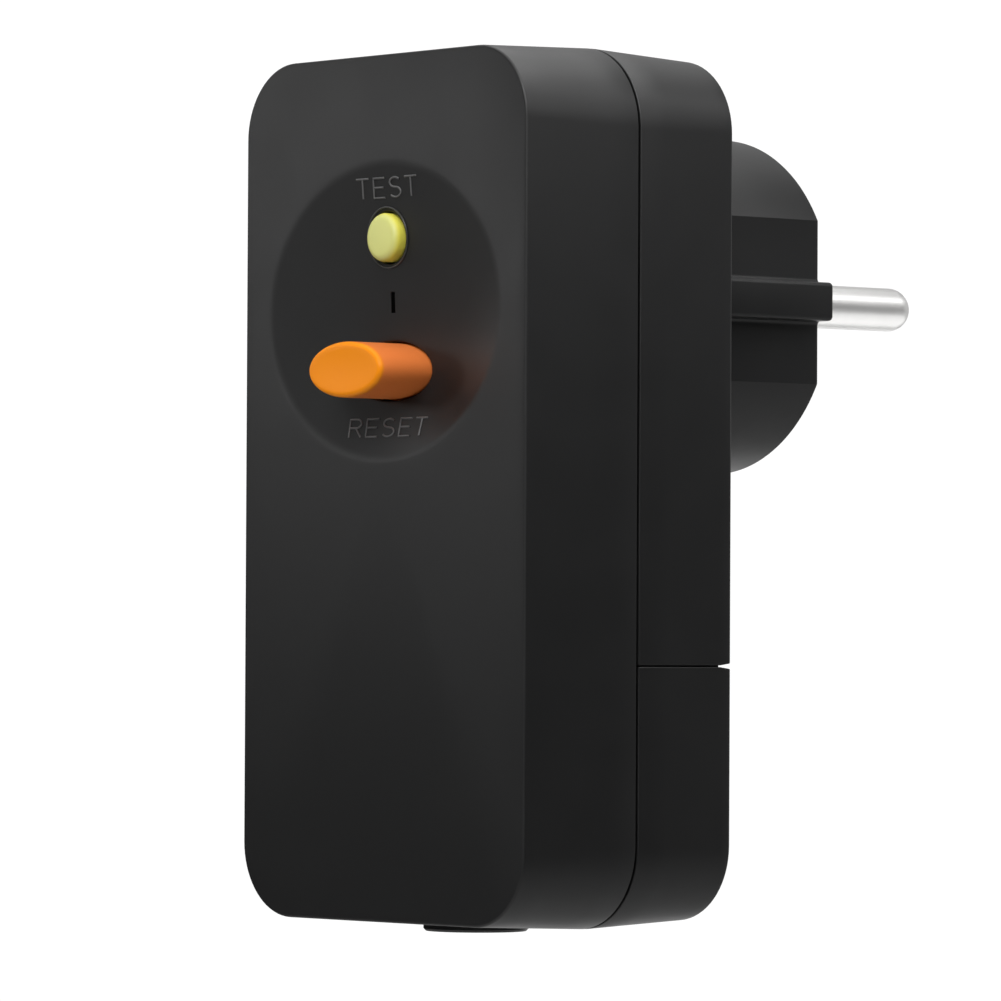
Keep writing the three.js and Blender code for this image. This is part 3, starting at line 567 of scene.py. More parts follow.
def sheet(outer, holes, extra):
    """Triangles of a flat region between an outer loop and holes, through extra points inside it."""
    points = [Vector(p) for p in outer]
    edges = [(i, (i + 1) % len(outer)) for i in range(len(outer))]
    for hole in holes:
        start = len(points)
        points += [Vector(p) for p in hole]
        edges += [(start + i, start + (i + 1) % len(hole)) for i in range(len(hole))]
    points += [Vector(p) for p in extra]
    made, _, triangles, *_ = delaunay_2d_cdt(points, edges, [], 0, 1e-5)
    kept = []
    for triangle in triangles:
        middle = sum((made[i] for i in triangle), Vector((0, 0))) / 3
        if inside(middle, outer) and not any(inside(middle, hole) for hole in holes):
            kept.append(tuple(triangle))
    return [tuple(p) for p in made], kept


def panel_points(holes):
    """Rings of points that carry the dish's curve out past its rim, kept clear of the holes."""
    rings, most, fewest = 48, 160, 12
    past_rim, thinning, clearance = 1.12, 1.3, 0.22
    points = [(0.0, DISH_Z)]
    for k in range(1, rings + 1):
        scale = past_rim * k / rings
        count = max(fewest, int(most * min(1, scale * thinning)))
        points += ellipse(DISH[0] * scale, DISH[1] * scale, DISH_Z, count)
    guards = [grown(hole, clearance) for hole in holes]
    return [p for p in points if not any(inside(p, guard) for guard in guards)]


class Skin:
    """The points and faces of a closed skin, added ring by ring."""

    def __init__(self):
        self.points = []
        self.faces = []

    def ring(self, points):
        start = len(self.points)
        self.points.extend(points)
        return list(range(start, len(self.points)))

    def bridge(self, rings):
        """Quads from each ring to the next."""
        for first, second in zip(rings, rings[1:]):
            for i in range(len(first)):
                j = (i + 1) % len(first)
                self.faces.append((first[i], first[j], second[j], second[i]))

    def patch(self, points, triangles):
        start = len(self.points)
        self.points += points
        self.faces += [tuple(start + i for i in triangle) for triangle in triangles]


def on_panel(loop, drop=0.0):
    """A loop laid on the front's surface, or sunk below it."""
    return [(x, FRONT_Y + dish_depth(x, z) + drop, z) for x, z in loop]


def front_sides(skin):
    """Rings from the seam to the front's edge: drafted sides between two rounded edges."""
    edge = 0.32
    depth = FRONT_BACK_Y - FRONT_Y

    def side_ring(y, inset):
        outline = mix(FRONT_OUTLINE, PARTING_OUTLINE, (y - FRONT_Y) / depth)
        return skin.ring(at_y(rounded_outline(outline, inset=inset), y))

    rings = [side_ring(FRONT_BACK_Y - SEAM_EDGE + rise, inset)
             for inset, rise in reversed(fillet(SEAM_EDGE, 3))]
    rings += [side_ring(FRONT_BACK_Y - depth * share, 0) for share in (0.25, 0.5, 0.75)]
    rings += [side_ring(FRONT_Y + edge - rise, inset) for inset, rise in fillet(edge, 5)]
    skin.bridge(rings)
    return rings


def rolled_hole(skin, wall, roll):
    """Rings that roll from the panel into a hole's wall over a quarter circle; gives the last one."""
    steps = 4
    loop = grown(wall, roll)
    rings = [skin.ring(on_panel(loop))]
    for a in quarter(steps)[1:]:
        narrowed = [mix(p, q, sin(a)) for p, q in zip(loop, wall)]
        rings.append(skin.ring(on_panel(narrowed, roll * (1 - cos(a)))))
    skin.bridge(rings)
    return rings[-1]


def front_shell_mesh():
    """The front shell as one closed mesh: drafted sides, dished panel with rolled holes, hollow inside."""
    roll, mark_roll, mark_depth = 0.2, 0.08, 0.35
    skin = Skin()
    sides = front_sides(skin)

    test_hole_radius = TEST_RADIUS + BUTTON_GAP
    button_holes = [ellipse(test_hole_radius, test_hole_radius, TEST_Z), reset_outline(inset=-BUTTON_GAP)]
    mark = rectangle(*ON_MARK_SIZE, ON_MARK_X, ON_MARK_Z)
    wide = [grown(hole, roll) for hole in button_holes] + [grown(mark, mark_roll)]
    outer = [(x, z) for x, _, z in (skin.points[i] for i in sides[-1])]
    flat, triangles = sheet(outer, wide, panel_points(wide))
    skin.patch(on_panel(flat), triangles)
    for hole in button_holes:
        skin.bridge([rolled_hole(skin, hole, roll), skin.ring(at_y(hole, INSIDE_FRONT_Y))])
    mark_floor = skin.ring(on_panel(mark, mark_depth))
    skin.faces.append(tuple(mark_floor))
    skin.bridge([rolled_hole(skin, mark, mark_roll), mark_floor])

    # the inside: a flat wall behind the panel, a shoulder and the recess for the rear shell's lip
    cavity_outline, recess_outline = rounded_outline(FRONT_CAVITY), rounded_outline(LIP_CAVITY)
    flat, triangles = sheet(cavity_outline, button_holes, [])
    skin.patch(at_y(flat, INSIDE_FRONT_Y), triangles)
    skin.bridge([
        skin.ring(at_y(cavity_outline, INSIDE_FRONT_Y)),
        skin.ring(at_y(cavity_outline, SHOULDER_Y)),
        skin.ring(at_y(recess_outline, SHOULDER_Y)),
        skin.ring(at_y(recess_outline, FRONT_BACK_Y)),
        sides[0],
    ])
    return mesh_from("front_shell_moulding", skin.points, skin.faces, SHELL_SHARP)


COLLAR_Y = (COLLAR_LOW.y + COLLAR_HIGH.y) / 2
COLLAR_RADIUS = 5.65


def inlet_cutter():
    """The round hole that the inlet collar stands in."""
    return rod(COLLAR_RADIUS + GAP, COLLAR_LOW.z - 5, COLLAR_HIGH.z + 1, (0, COLLAR_Y), "Z", 72)


def front_shell():
    # the dished panel gets a rougher finish and a darker colour, painted shade in the recess
    plastic = moulded_plastic("front_plastic", (0.0070, 0.0070, 0.0072), 0.44, dish=(0.4, 0.16))
    shell = finish_piece("front_shell_moulding", front_shell_mesh(), "housing",
                         "housing_plastic", "front_shell", material=plastic)
    boolean(shell, inlet_cutter())
    tidy(shell.data, SHELL_SHARP)


front_shell()


# ---------------- rear shell and terminal cover

def middle_xz(node):
    """The middle of a CAD node, across and up."""
    low, high = cad_box(node)
    return (low.x + high.x) / 2, (low.z + high.z) / 2


SCREW_POINTS = {
    name: middle_xz(name) for name in frame["nodes"] if name.startswith(("housing_screw", "cover_screw"))
}
BOSS_RADIUS = 3.7
SPLIT = 0.18
SPLIT_MIDDLE = (REAR_LOW.z + COVER_HIGH.z) / 2
SPLIT_TOP = SPLIT_MIDDLE + SPLIT / 2     # the rear shell's lower edge
SPLIT_BOTTOM = SPLIT_MIDDLE - SPLIT / 2  # the terminal cover's upper edge
SPLIT_CORNER = 0.1                       # corner radius at the split
TONGUE = 0.9                             # how far the cover's tongue reaches into the rear shell
REAR_FLOOR = 2                           # thickness of the rear shell's floor above the split


def rear_solid(name, low=None, high=None):
    """A rear half: drafted, with rounded edges, a lip in front and no hollow yet.

    low or high cuts it off at the split; there its back edge flares open a little."""
    edge, lip_inset = 0.4, 0.02
    flare, flare_reach = 0.16, 1.6
    depth = REAR_Y - REAR_FRONT_Y

    def ring(size, y, inset, opening=0.0):
        return at_y(rounded_outline(
            size,
            low=None if low is None else low + opening,
            high=None if high is None else high - opening,
            low_radius=SPLIT_CORNER, high_radius=SPLIT_CORNER, inset=inset), y)

    def size_at(y):
        return mix(PARTING_OUTLINE, REAR_OUTLINE, (y - REAR_FRONT_Y) / depth)

    rings = [ring(LIP_OUTER, LIP_FRONT_Y, lip_inset), ring(LIP_OUTER, REAR_FRONT_Y, lip_inset)]
    rings += [ring(size_at(REAR_FRONT_Y), REAR_FRONT_Y + SEAM_EDGE - rise, inset)
              for inset, rise in reversed(fillet(SEAM_EDGE, 3))]
    for y in (REAR_FRONT_Y + depth * 0.3, REAR_FRONT_Y + depth * 0.6, REAR_Y - flare_reach):
        rings.append(ring(size_at(y), y, 0))
    for inset, rise in fillet(edge, 6):
        y = REAR_Y - edge + rise
        rings.append(ring(size_at(y), y, inset, flare))
    return mesh_from(name, *loft(rings), SHELL_SHARP)


def cavity(low=None, high=None):
    """The hollow of a rear half, with the screw bosses left standing in it."""
    corner, past_lip = 0.5, 2
    outline = rounded_outline(REAR_CAVITY, low=low, high=high, low_radius=corner, high_radius=corner)
    rings = [at_y(outline, LIP_FRONT_Y - past_lip), at_y(outline, INSIDE_REAR_Y)]
    tool = new_object("hollow", mesh_from("hollow", *loft(rings)))
    for point in SCREW_POINTS.values():
        boolean(tool, rod(BOSS_RADIUS, REAR_FRONT_Y - GAP, REAR_Y, point))
    mesh = tool.data
    bpy.data.objects.remove(tool)
    return mesh


def screw_hole(x, z):
    """A counterbore with a broken edge, and the clearance hole under it."""
    shank, bore, chamfer = 1.6, 2.9, 0.35
    return turned_mesh([
        (0, LIP_FRONT_Y - 3), (shank, LIP_FRONT_Y - 3), (shank, INSIDE_REAR_Y), (bore, INSIDE_REAR_Y),
        (bore, REAR_Y - chamfer), (bore + chamfer, REAR_Y), (bore + chamfer, REAR_Y + 1), (0, REAR_Y + 1),
    ], (x, z), sides=56)


def plug_outline(grow=0.0, flare=0.0):
    """Points (x, z) round the plug: a circle with side flats, each with a rounded rib."""
    radius, flat = PLUG_RADIUS + grow, PLUG_FLAT + grow
    rib, reach = RIB_HALF + grow + flare, RIB_REACH + grow
    outer_round = max(0.5 + grow, 0.1)
    inner_round = max(0.5 - grow + flare, 0.05)
    start, steps = acos(flat / radius), 40
    arc_turns = [start + (pi / 2 - start) * i / steps for i in range(steps + 1)]
    right = [(reach + outer_round * (cos(a) - 1), rib + outer_round * (sin(a) - 1)) for a in quarter(6)]
    right += [(flat + inner_round * (1 - sin(a)), rib + inner_round * (1 - cos(a))) for a in quarter(6)]
    right += [(radius * cos(a), radius * sin(a)) for a in arc_turns]
    top = right + [(-x, z) for x, z in reversed(right[:-1])]
    return top + [(-x, -z) for x, z in top]


RIB_FLARE = 0.7


def plug_aperture():
    """The opening in the rear shell's back wall that the plug comes through."""
    rings = [at_y(plug_outline(GAP), INSIDE_REAR_Y - 1), at_y(plug_outline(GAP), REAR_Y + 1)]
    return mesh_from("tool", *loft(rings))


def split_tongue(z_low, z_high, grow=0.0):
    """Boxes along the sides and the back that keep light and dust out of the split below the rear shell."""
    inner, outer = REAR_OUTLINE[0] / 2 - 1.9 - grow, REAR_OUTLINE[0] / 2 - 1.2 + grow
    y_front, y_back, y_inner = REAR_FRONT_Y + 0.5 - grow, REAR_Y - 0.8 + grow, REAR_Y - 1.5 - grow
    return [
        box_mesh((-outer, y_front, z_low), (-inner, y_back, z_high)),
        box_mesh((inner, y_front, z_low), (outer, y_back, z_high)),
        box_mesh((-outer + 0.1, y_inner, z_low), (outer - 0.1, y_back, z_high)),
    ]


def strap_opening():
    """The opening in the rear shell's floor that the earth strap passes through."""
    half, front_y, back_y = 2.9, -26.8, -25.0
    return box_mesh((-half, front_y, SPLIT_TOP - 1), (half, back_y, SPLIT_TOP + REAR_FLOOR + 1))


def cut_screw_holes(obj, start):
    """Cuts the holes of the screws whose names have this start."""
    for name, point in SCREW_POINTS.items():
        if name.startswith(start):
            boolean(obj, screw_hole(*point))


def rear_half(name, node, **edges):
    """A rear half as a piece; edges says where it is cut off at the split."""
    return finish_piece(name, rear_solid(name, **edges), "housing", "housing_plastic", node)


def rear_shell():
    groove_gap = 0.12
    rear = rear_half("rear_shell_moulding", "rear_shell", low=SPLIT_TOP)
    boolean(rear, cavity(low=SPLIT_TOP + REAR_FLOOR))
    boolean(rear, plug_aperture())
    cut_screw_holes(rear, "housing")
    boolean(rear, strap_opening())
    for tool_mesh in split_tongue(SPLIT_TOP - 1, SPLIT_TOP + TONGUE, groove_gap):
        boolean(rear, tool_mesh)
    tidy(rear.data, SHELL_SHARP)


def terminal_cover():
    open_top = 5
    cover = rear_half("terminal_cover_moulding", "terminal_cover", high=SPLIT_BOTTOM)
    boolean(cover, cavity(high=SPLIT_BOTTOM + open_top))
    cut_screw_holes(cover, "cover")
    boolean(cover, inlet_cutter())
    for tool_mesh in split_tongue(SPLIT_BOTTOM - 1, SPLIT_BOTTOM + TONGUE):
        boolean(cover, tool_mesh, "UNION")
    tidy(cover.data, SHELL_SHARP)


rear_shell()
terminal_cover()


# ---------------- plug

def plug_solid():
    """The plug's outside, flared where its ribs meet the housing and rounded round its end face."""
    edge = 0.45
    rings = [at_y(plug_outline(), PLUG_BACK_Y), at_y(plug_outline(), REAR_Y - 0.01)]
    for a in quarter(6):
        rings.append(at_y(plug_outline(flare=RIB_FLARE * (1 - sin(a))), REAR_Y + RIB_FLARE * (1 - cos(a))))
    rings.append(at_y(plug_outline(), REAR_Y / 2))
    rings += [at_y(plug_outline(-inset), -edge + rise) for inset, rise in fillet(edge, 5)]
    return mesh_from("plug_moulding", *loft(rings), PLUG_SHARP)


def plug_hollow():
    """The hollow behind the plug's end wall, with a boss left round each pin."""
    radius, half_width, boss_radius = 15, 13, 4.3
    floor_y, boss_y = -5, -4
    hollow = new_object("hollow", rod(radius, PLUG_BACK_Y - 1, floor_y, sides=80))
    boolean(hollow, box_mesh((-half_width, PLUG_BACK_Y - 2, -20), (half_width, 0, 20)), "INTERSECT")
    for side in (-1, 1):
        boolean(hollow, rod(boss_radius, PLUG_BACK_Y - 2, boss_y, (side * PIN_X, 0)))
    mesh = hollow.data
    bpy.data.objects.remove(hollow)
    return mesh


def pin_bore(side):
    """A pin's hole through the end wall, with a broken edge at its mouth."""
    mouth = 0.25
    bore = PIN_RADIUS + GAP
    return turned_mesh([(0, PLUG_BACK_Y - 1), (bore, PLUG_BACK_Y - 1), (bore, -mouth),
                        (bore + mouth, 0), (bore + mouth, 1), (0, 1)], (side * PIN_X, 0))


CLIP_LOW, CLIP_HIGH = cad_box("earth_clip_top")
CLIP_THICKNESS = 0.8
CLIP_BOW = 0.5                           # how far the clip bows outwards


def clip_slot(side):
    """The slot that an earth clip lies in."""
    beside, past_end, past_plug = 0.4, 0.5, 1.4
    floor_z = CLIP_HIGH.z - CLIP_BOW - CLIP_THICKNESS - GAP
    z_low, z_high = sorted((side * floor_z, side * (PLUG_RADIUS + past_plug)))
    return box_mesh((CLIP_LOW.x - beside, PLUG_BACK_Y - 1, z_low),
                    (CLIP_HIGH.x + beside, CLIP_HIGH.y + past_end, z_high))


def plug_body():
    plug = finish_piece("plug_moulding", plug_solid(), "housing", "housing_plastic", "plug_body")
    flange_radius = PLUG_HIGH.x
    boolean(plug, rod(flange_radius, PLUG_BACK_Y, FLANGE_BACK_Y, sides=96), "UNION")
    boolean(plug, plug_hollow())
    for side in (-1, 1):
        boolean(plug, pin_bore(side))
        boolean(plug, clip_slot(side))
    tidy(plug.data, PLUG_SHARP)


plug_body()


def plug_pin(name, x):
    """A round-nosed pin with its collar behind the plug."""
    low, high = cad_box(name)
    collar, collar_edge = 3.75, 0.2
    collar_end = PLUG_BACK_Y - 0.4
    profile = [(0, low.y), (collar - collar_edge, low.y), (collar, low.y + collar_edge),
               (collar, collar_end - collar_edge), (collar - collar_edge, collar_end),
               (PIN_RADIUS, collar_end), (PIN_RADIUS, high.y / 2)]
    for a in quarter(18)[:-1]:
        profile.append((PIN_RADIUS * cos(a), high.y - PIN_RADIUS + PIN_RADIUS * sin(a)))
    profile.append((0, high.y))
    pin = turned_mesh(profile, (x, 0), sides=72, name=name)
    return finish_piece(name + "_turned", pin, "housing", "pin_nickel", name)


plug_pin("plug_pin_left", -PIN_X)
plug_pin("plug_pin_right", PIN_X)


def earth_clip(name, side):
    """A pressed strip with a smooth outward bow and rounded edges, its foot turned in behind the plug."""
    low, high = CLIP_LOW, CLIP_HIGH
    thickness, edge, steps = CLIP_THICKNESS, 0.12, 24
    bottom = high.z - CLIP_BOW - thickness
    foot_y, foot_z = low.y + thickness, 12
    upper, lower = [], []
    for i in range(steps + 1):
        y = foot_y + 1 + (high.y - foot_y - 1) * i / steps
        rise = CLIP_BOW * sin(pi * i / steps) ** 2
        lower.append((y, bottom + rise))
        upper.append((y, bottom + thickness + rise))
    foot = [(low.y, foot_z), (foot_y, foot_z), (foot_y, bottom - 0.6), (foot_y + 0.2, bottom - 0.2)]
    corner = [(foot_y - 0.1, bottom + thickness), (low.y + 0.2, bottom + 0.35), (low.y, bottom - 0.1)]
    outline = foot + lower + list(reversed(upper)) + corner
    middle_y = sum(y for y, _ in outline) / len(outline)
    half = (high.x - low.x) / 2
    rings = []
    for x, shrink in ((-half, edge / 3), (-half + edge, 0), (half - edge, 0), (half, edge / 3)):
        rings.append([(x, y + (shrink if y < middle_y else -shrink), side * z) for y, z in outline])
    clip = mesh_from(name, *loft(rings), BUTTON_SHARP)
    return finish_piece(name + "_pressed", clip, "housing", "earth_nickel", name)


earth_clip("earth_clip_top", 1)
earth_clip("earth_clip_bottom", -1)


# ---------------- screws and inlet collar

def cross_screw(name, x, z):
    """A pan-head screw with a cross recess."""
    low, high = cad_box(name)
    head, head_length, head_round, head_edge = 2.6, 1.8, 0.9, 0.15
    shank, tip_length = 1.3, 1.6
    pitch, depth = 0.9, 0.2
    seat = high.y - head_length
    profile = [(0, low.y), (shank * 0.5, low.y + 0.5), (shank, low.y + tip_length)]
    y = low.y + tip_length
    while y < seat - 2 * pitch:
        profile += [(shank, y + pitch * 0.4), (shank - depth, y + pitch * 0.5),
                    (shank - depth, y + pitch * 0.6), (shank, y + pitch * 0.7)]
        y += pitch
    profile += [(shank, seat), (head - head_edge, seat), (head, seat + 0.2)]
    for a in quarter(6):
        profile.append((head + head_round * (cos(a) - 1), high.y + head_round * (sin(a) - 1)))
    profile.append((0, high.y))
    screw = turned_mesh(profile, (x, z), sides=48, name=name)
    obj = finish_piece(name + "_turned", screw, "housing", "screw_steel", name)
    half, reach, recess = 0.32, 1.35, 1.1
    for dx, dz in ((reach, half), (half, reach)):
        boolean(obj, box_mesh((x - dx, high.y - recess, z - dz), (x + dx, high.y + 1, z + dz)))
    tidy(obj.data, THREAD_SHARP)
    obj.data.materials.clear()
    obj.data.materials.append(MATERIALS["screw_steel"])


for screw_name, screw_point in SCREW_POINTS.items():
    cross_screw(screw_name, *screw_point)


def inlet_collar():
    """A tube with a flange that the two shells hold, flared at its mouth."""
    bore, edge, lead = 4.2, 0.25, 0.6
    flange, flange_low = (COLLAR_HIGH.x - COLLAR_LOW.x) / 2, COLLAR_HIGH.z - 2.3
    flange_high = flange_low + 1.8
    outer, mouth, end = COLLAR_RADIUS, COLLAR_LOW.z, COLLAR_HIGH.z
    profile = [
        (bore + lead, mouth), (outer - edge, mouth), (outer, mouth + edge), (outer, flange_low),
        (flange, flange_low), (flange, flange_high), (outer, flange_high), (outer, end),
        (bore, end), (bore, mouth + lead),
    ]
    rings = [[(r * cos(a), COLLAR_Y + r * sin(a), z) for r, z in profile] for a in full_turn(72)]
    collar = mesh_from("inlet_collar_moulding", *hoop(rings))
    return finish_piece("inlet_collar_moulding", collar, "housing", "collar_plastic", "inlet_collar")


inlet_collar()


# ---------------- buttons

def test_button():
    """The round TEST button: a gently crowned face with a rolled edge, a flange and a stem behind."""
    face, back = TEST_LOW.y, TEST_HIGH.y
    edge, crown = 0.8, 0.12
    flange_radius, flange_y, flange_end = 4, FLANGE_Y, FLANGE_Y + 0.8
    stem, stem_edge = 1.2, 0.3
    steps = 8
    flat = TEST_RADIUS - edge
    profile = []
    for i in range(steps):
        r = flat * i / steps
        profile.append((r, face + crown * (r / TEST_RADIUS) ** 2))
    rim_y = face + crown * (flat / TEST_RADIUS) ** 2
    for a in quarter(steps):
        profile.append((flat + edge * sin(a), rim_y + edge * (1 - cos(a))))
    profile += [(TEST_RADIUS, flange_y), (flange_radius, flange_y), (flange_radius, flange_end),
                (stem, flange_end), (stem, back - stem_edge), (stem - stem_edge, back), (0, back)]
    cap = turned_mesh(profile, (0, TEST_Z), sides=72)
    return finish_piece("test_button_cap", cap, "test", "test_plastic", "test_button")


def reset_button():
    """The oval RESET button, far out of the panel, with a rolled rim and a slightly hollow face."""
    face = RESET_LOW.y
    edge, dip, steps = 0.55, 0.12, 6
    flange_half, flange_height, flange_depth = RESET_HIGH.x, RESET_HIGH.z - RESET_Z, 1
    stem_half, stem_height = 2.2, 1.7
    overlap_y = FLANGE_Y + flange_depth / 2
    rings = [at_y(reset_outline(), y) for y in (overlap_y, (face + FLANGE_Y) / 2)]
    rings += [at_y(reset_outline(inset=inset), face + edge - rise) for inset, rise in fillet(edge, 7)]
    for i in range(1, steps):
        share = 1 - i / steps
        rings.append(at_y(reset_outline(share, edge), face + dip * (1 - share * share)))
    cap = mesh_from("reset_button_cap", *loft(rings), BUTTON_SHARP)
    obj = finish_piece("reset_button_cap", cap, "reset", "reset_plastic", "reset_button")
    flange = box_mesh((-flange_half, FLANGE_Y, RESET_Z - flange_height),
                      (flange_half, FLANGE_Y + flange_depth, RESET_Z + flange_height))
    stem = box_mesh((-stem_half, overlap_y, RESET_Z - stem_height),
                    (stem_half, RESET_HIGH.y, RESET_Z + stem_height))
    for tool_mesh in (flange, stem):
        boolean(obj, tool_mesh, "UNION")
    tidy(obj.data, BUTTON_SHARP)


def test_hole_lip():
    """A thin raised lip round the TEST button's hole that catches the light; it is a lighter grey than the
    housing, a painted highlight.
    """
    radius, tube, proud = TEST_RADIUS + 0.62, 0.11, 0.05
    rings = []
    for a in full_turn(96):
        ring = []
        for b in full_turn(10):
            reach = radius + tube * cos(b)
            x, z = reach * cos(a), TEST_Z + reach * sin(a)
            ring.append((x, FRONT_Y + dish_depth(x, z) - proud + tube * sin(b), z))
        rings.append(ring)
    # lighter than the housing: painted highlight on the lip
    plastic = moulded_plastic("lip_plastic", (0.03, 0.03, 0.03), 0.30)
    lip = mesh_from("test_hole_lip", *hoop(rings), SMOOTH)
    return finish_piece("test_hole_lip", lip, "housing", "housing_plastic", material=plastic)


FLANGE_Y = INSIDE_FRONT_Y + GAP          # the front of the buttons' flanges, behind the panel

test_button()
reset_button()
test_hole_lip()


# ---------------- lettering

def arc(cx, cy, rx, ry, start, end, steps=10):
    """Points along part of an ellipse, between two angles in degrees."""
    turns = [radians(start + (end - start) * i / steps) for i in range(steps + 1)]
    return [(cx + rx * cos(a), cy + ry * sin(a)) for a in turns]


# Plain single-stroke capitals on a unit-high grid, as polylines of (across, up)
LETTER_WIDTH = 0.62
LETTER_PITCH = 0.84
STROKES = {
    "T": [[(0, 1), (LETTER_WIDTH, 1)], [(LETTER_WIDTH / 2, 1), (LETTER_WIDTH / 2, 0)]],
    "E": [[(LETTER_WIDTH, 1), (0.04, 1), (0.04, 0), (LETTER_WIDTH, 0)], [(0.04, 0.52), (0.54, 0.52)]],
    "S": [arc(0.31, 0.755, 0.27, 0.245, 35, 270) + arc(0.31, 0.255, 0.29, 0.255, 90, -145)],
    "R": [[(0.04, 0), (0.04, 1), (0.36, 1)] + arc(0.36, 0.76, 0.24, 0.24, 90, -90) + [(0.04, 0.52)],
          [(0.34, 0.52), (0.62, 0)]],
}


def with_more_points(stroke, spacing=0.2):
    """A stroke with points along its straights, so that it can follow the panel's curve."""
    path = []
    for (u1, v1), (u2, v2) in zip(stroke, stroke[1:]):
        pieces = max(1, ceil(hypot(u2 - u1, v2 - v1) / spacing))
        path += [(u1 + (u2 - u1) * i / pieces, v1 + (v2 - v1) * i / pieces) for i in range(pieces)]
    return path + [stroke[-1]]


def stroke_rings(path):
    """Rings of a thin raised stroke along a path of (x, z) points on the panel."""
    radius, raised, sides = 0.105, 0.02, 8
    rings = []
    for k, (x, z) in enumerate(path):
        before, after = path[max(k - 1, 0)], path[min(k + 1, len(path) - 1)]
        dx, dz = after[0] - before[0], after[1] - before[1]
        length = hypot(dx, dz)
        y = FRONT_Y + dish_depth(x, z) - raised
        ring = []
        for a in full_turn(sides):
            across = radius * cos(a) / length
            ring.append((x - dz * across, y + radius * sin(a), z + dx * across))
        rings.append(ring)
    return rings


def lettering(name, word, height, width, x_middle, z_low):
    """A word in thin raised strokes that follow the panel's curve, in a lighter grey than the housing that
    paints the highlight along them.
    """
    stretch = width / ((len(word) - 1) * LETTER_PITCH + LETTER_WIDTH)
    skin = Skin()
    for number, letter in enumerate(word):
        x_left = x_middle - width / 2 + number * LETTER_PITCH * stretch
        for stroke in STROKES[letter]:
            path = [(x_left + u * stretch, z_low + v * height) for u, v in with_more_points(stroke)]
            skin.patch(*loft(stroke_rings(path)))
    word_mesh = mesh_from(name, skin.points, skin.faces, SMOOTH)
    return finish_piece(name, word_mesh, "housing", "housing_plastic", material=LETTER_HIGHLIGHT_MATERIAL)


# The strokes are the housing's plastic; their lighter grey is a painted highlight.
LETTER_HIGHLIGHT_MATERIAL = moulded_plastic("letter_plastic", (0.10, 0.10, 0.10), 0.38)
lettering("panel_lettering_upper", "TEST", 2.1, 10.0, 0.35, 10.0)
lettering("panel_lettering_lower", "RESET", 1.9, 12.5, 0.15, -15.4)


def on_mark_fill():
    """A near-black matt sheet in the engraved mark, just below the panel, that makes the mark dark."""
    margin, sunk, thickness = 0.01, 0.1, 0.2
    across, up = ON_MARK_SIZE[0] / 2 - margin, ON_MARK_SIZE[1] / 2 - margin
    y = FRONT_Y + dish_depth(ON_MARK_X, ON_MARK_Z) + sunk
    mesh = box_mesh((ON_MARK_X - across, y, ON_MARK_Z - up),
                    (ON_MARK_X + across, y + thickness, ON_MARK_Z + up))
    paint = moulded_plastic("mark_paint", (0.0006, 0.0006, 0.0006), 0.8, shine=0.02)
    return finish_piece("on_mark_fill", mesh, "housing", "housing_plastic", material=paint)


on_mark_fill()


# ---------------- camera, lights and floor

def direction(azimuth, elevation):
    """A unit vector out from the object; azimuth 0 is straight in front and 90 its right side."""
    a, e = radians(azimuth), radians(elevation)
    return Vector((sin(a) * cos(e), -cos(a) * cos(e), sin(e)))


def make_camera():
    """The camera stands off the front's right side, almost level with the housing's middle."""
    azimuth, elevation, roll = 49.75, -1.183, radians(0.28)
    distance = 690.0
    target = Vector((19.55, FRONT_Y, MID_Z - 1.61))
    back = direction(azimuth, elevation)
    level = direction(azimuth + 90, 0)
    above = back.cross(level)
    right = level * cos(roll) + above * sin(roll)
    up = above * cos(roll) - level * sin(roll)
    data = bpy.data.cameras.new("camera")
    data.sensor_width = 36.0
    data.lens = 238.8
    data.clip_start, data.clip_end = 0.01, 20.0
    camera = bpy.data.objects.new("camera", data)
    bpy.context.scene.collection.objects.link(camera)
    rotation = Matrix((right, up, back)).transposed()
    camera.matrix_world = Matrix.Translation((target + back * distance) * MM) @ rotation.to_4x4()
    bpy.context.scene.camera = camera


# Soft boxes: name, azimuth and elevation as seen from the aim, distance, size, power and the aim in mm
PANEL, FRONT_MIDDLE, MIDDLE = (0, FRONT_Y, DISH_Z - 6), (0, FRONT_Y, 0), (0, -20, -10)
UPPER_SIDE, PLUG_TOP = (FRONT_HIGH.x, -34, 25), (10, 0, PLUG_RADIUS)
SOFT_BOXES = [
    ("front", 15, 25, 1.00, (0.40, 0.40), 3.0, PANEL),
    ("front_right", 35, 35, 1.00, (0.40, 0.40), 2.9, PANEL),
    ("key", -45, 6, 0.40, (0.05, 0.05), 0.087, FRONT_MIDDLE),
    ("key_wide", -70, 20, 0.30, (0.20, 0.20), 0.088, FRONT_MIDDLE),
    ("top", 0, 89.9, 0.18, (0.30, 0.30), 0.503, (0, -20, 25)),
    ("side_low", 90, 20, 0.14, (0.30, 0.04), 0.084, UPPER_SIDE),
    ("side_high", 90, 50, 0.25, (0.80, 0.10), 0.411, UPPER_SIDE),
    ("side_far", 90, 45, 0.40, (0.90, 0.12), 0.167, UPPER_SIDE),
    ("side_below", 120, -30, 0.50, (0.50, 0.30), 0.048, MIDDLE),
    ("plug_top", 120, 70, 0.25, (0.20, 0.10), 0.13, PLUG_TOP),
    ("behind", 180, 0, 0.60, (0.60, 0.60), 0.602, MIDDLE),
    ("behind_high", 230, 35, 1.00, (1.00, 1.00), 1.42, MIDDLE),
    ("behind_low", 225, -20, 0.60, (0.30, 0.30), 0.280, MIDDLE),
]


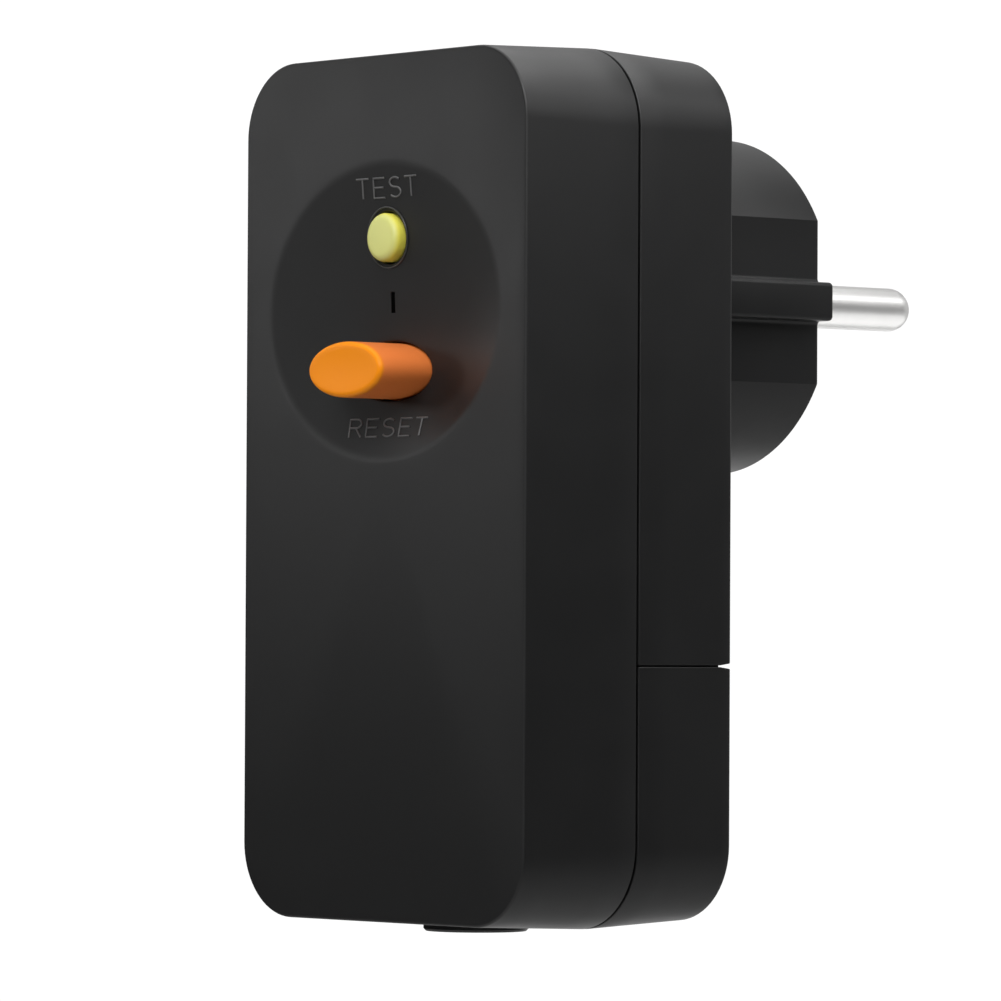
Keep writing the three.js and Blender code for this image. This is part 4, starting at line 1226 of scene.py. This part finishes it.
def soft_light(name, azimuth, elevation, distance, size, power, aim):
    """A soft box at an angle round the object, aimed at a point given in millimetres."""
    toward = direction(azimuth, elevation)
    data = bpy.data.lights.new(name, "AREA")
    data.shape = "RECTANGLE"
    data.size, data.size_y = size
    data.energy = power
    light = bpy.data.objects.new(name, data)
    bpy.context.scene.collection.objects.link(light)
    light.location = Vector(aim) * MM + toward * distance
    light.rotation_mode = "QUATERNION"
    light.rotation_quaternion = (-toward).to_track_quat("-Z", "Y")
    light.visible_camera = False
    return light


# Soft boxes that only the bare metal catches, so that it shines beside the matt plastic
METAL_BOXES = [
    ("metal_level", 130, 0, 0.50, (0.50, 0.50), 0.22, (0, 5, 0)),
    ("metal_high", 158, 46, 0.30, (0.30, 0.30), 0.15, (0, 5, 0)),
    ("metal_low", 158, -46, 0.30, (0.30, 0.30), 0.26, (0, 5, 0)),
]


def pieces(name, *starts):
    """A collection of the objects whose names have any of these starts."""
    group = bpy.data.collections.new(name)
    for obj in bpy.context.scene.objects:
        if obj.name.startswith(starts):
            group.objects.link(obj)
    return group


def metal_lights():
    """The soft boxes that are linked to the bare metal only."""
    metal = pieces("bare_metal", "plug_pin", "earth_clip", "housing_screw", "cover_screw")
    for soft_box in METAL_BOXES:
        soft_light(*soft_box).light_linking.receiver_collection = metal


def spare_clips(light):
    """Keeps a light that stands close above the earth clips from burning them out."""
    clips = pieces("clips_spared", "earth_clip")
    light.light_linking.receiver_collection = clips
    for member in clips.collection_objects:
        member.light_linking.link_state = "EXCLUDE"


def backdrop(tree, strength):
    """A white background shader."""
    node = tree.nodes.new("ShaderNodeBackground")
    node.inputs["Color"].default_value = (1, 1, 1, 1)
    node.inputs["Strength"].default_value = strength
    return node.outputs["Background"]


def make_world():
    """White behind the object for the camera; a much dimmer surround lights it."""
    seen, surround = 1.05, 0.02
    world = bpy.data.worlds.new("studio")
    world.use_nodes = True
    bpy.context.scene.world = world
    tree = world.node_tree
    tree.nodes.clear()
    path = tree.nodes.new("ShaderNodeLightPath")
    pick = tree.nodes.new("ShaderNodeMixShader")
    output = tree.nodes.new("ShaderNodeOutputWorld")
    tree.links.new(path.outputs["Is Camera Ray"], pick.inputs["Fac"])
    tree.links.new(backdrop(tree, surround), pick.inputs[1])
    tree.links.new(backdrop(tree, seen), pick.inputs[2])
    tree.links.new(pick.outputs["Shader"], output.inputs["Surface"])


FLOOR_REACH, FLOOR_DROP = 3.0, 0.42     # in metres: half the floor's side, and how far it lies below


def floor_sheet(name, z, glow):
    """A level pale sheet; glow is how strongly it shines by itself."""
    mesh = bpy.data.meshes.new(name)
    corners = [(-1, -1), (1, -1), (1, 1), (-1, 1)]
    mesh.from_pydata([(x * FLOOR_REACH, y * FLOOR_REACH, z) for x, y in corners], [], [(0, 1, 2, 3)])
    n = Nodes(name + "_paint")
    paint = n.shades(n.noise(3), (0.92, 0.92, 0.92), (0.95, 0.95, 0.95))
    n.set(Base_Color=paint, Roughness=0.7, Emission_Color=(1, 1, 1, 1), Emission_Strength=glow)
    mesh.materials.append(n.material)
    sheet = new_object(name, mesh)
    return sheet


def make_floor():
    """A pale floor well below the object, which returns soft light to it, under a sheet that only the
    camera sees and that keeps the picture evenly pale."""
    floor_sheet("floor", -FLOOR_DROP, 0)
    seen = floor_sheet("floor_seen", -FLOOR_DROP + 1 * MM, 1.0)
    seen.visible_diffuse = False
    seen.visible_glossy = False
    seen.visible_shadow = False


make_camera()
make_world()
make_floor()
for soft_box in SOFT_BOXES:
    soft_light(*soft_box)
metal_lights()
spare_clips(bpy.data.objects["top"])
bpy.context.scene.view_settings.view_transform = "Standard"
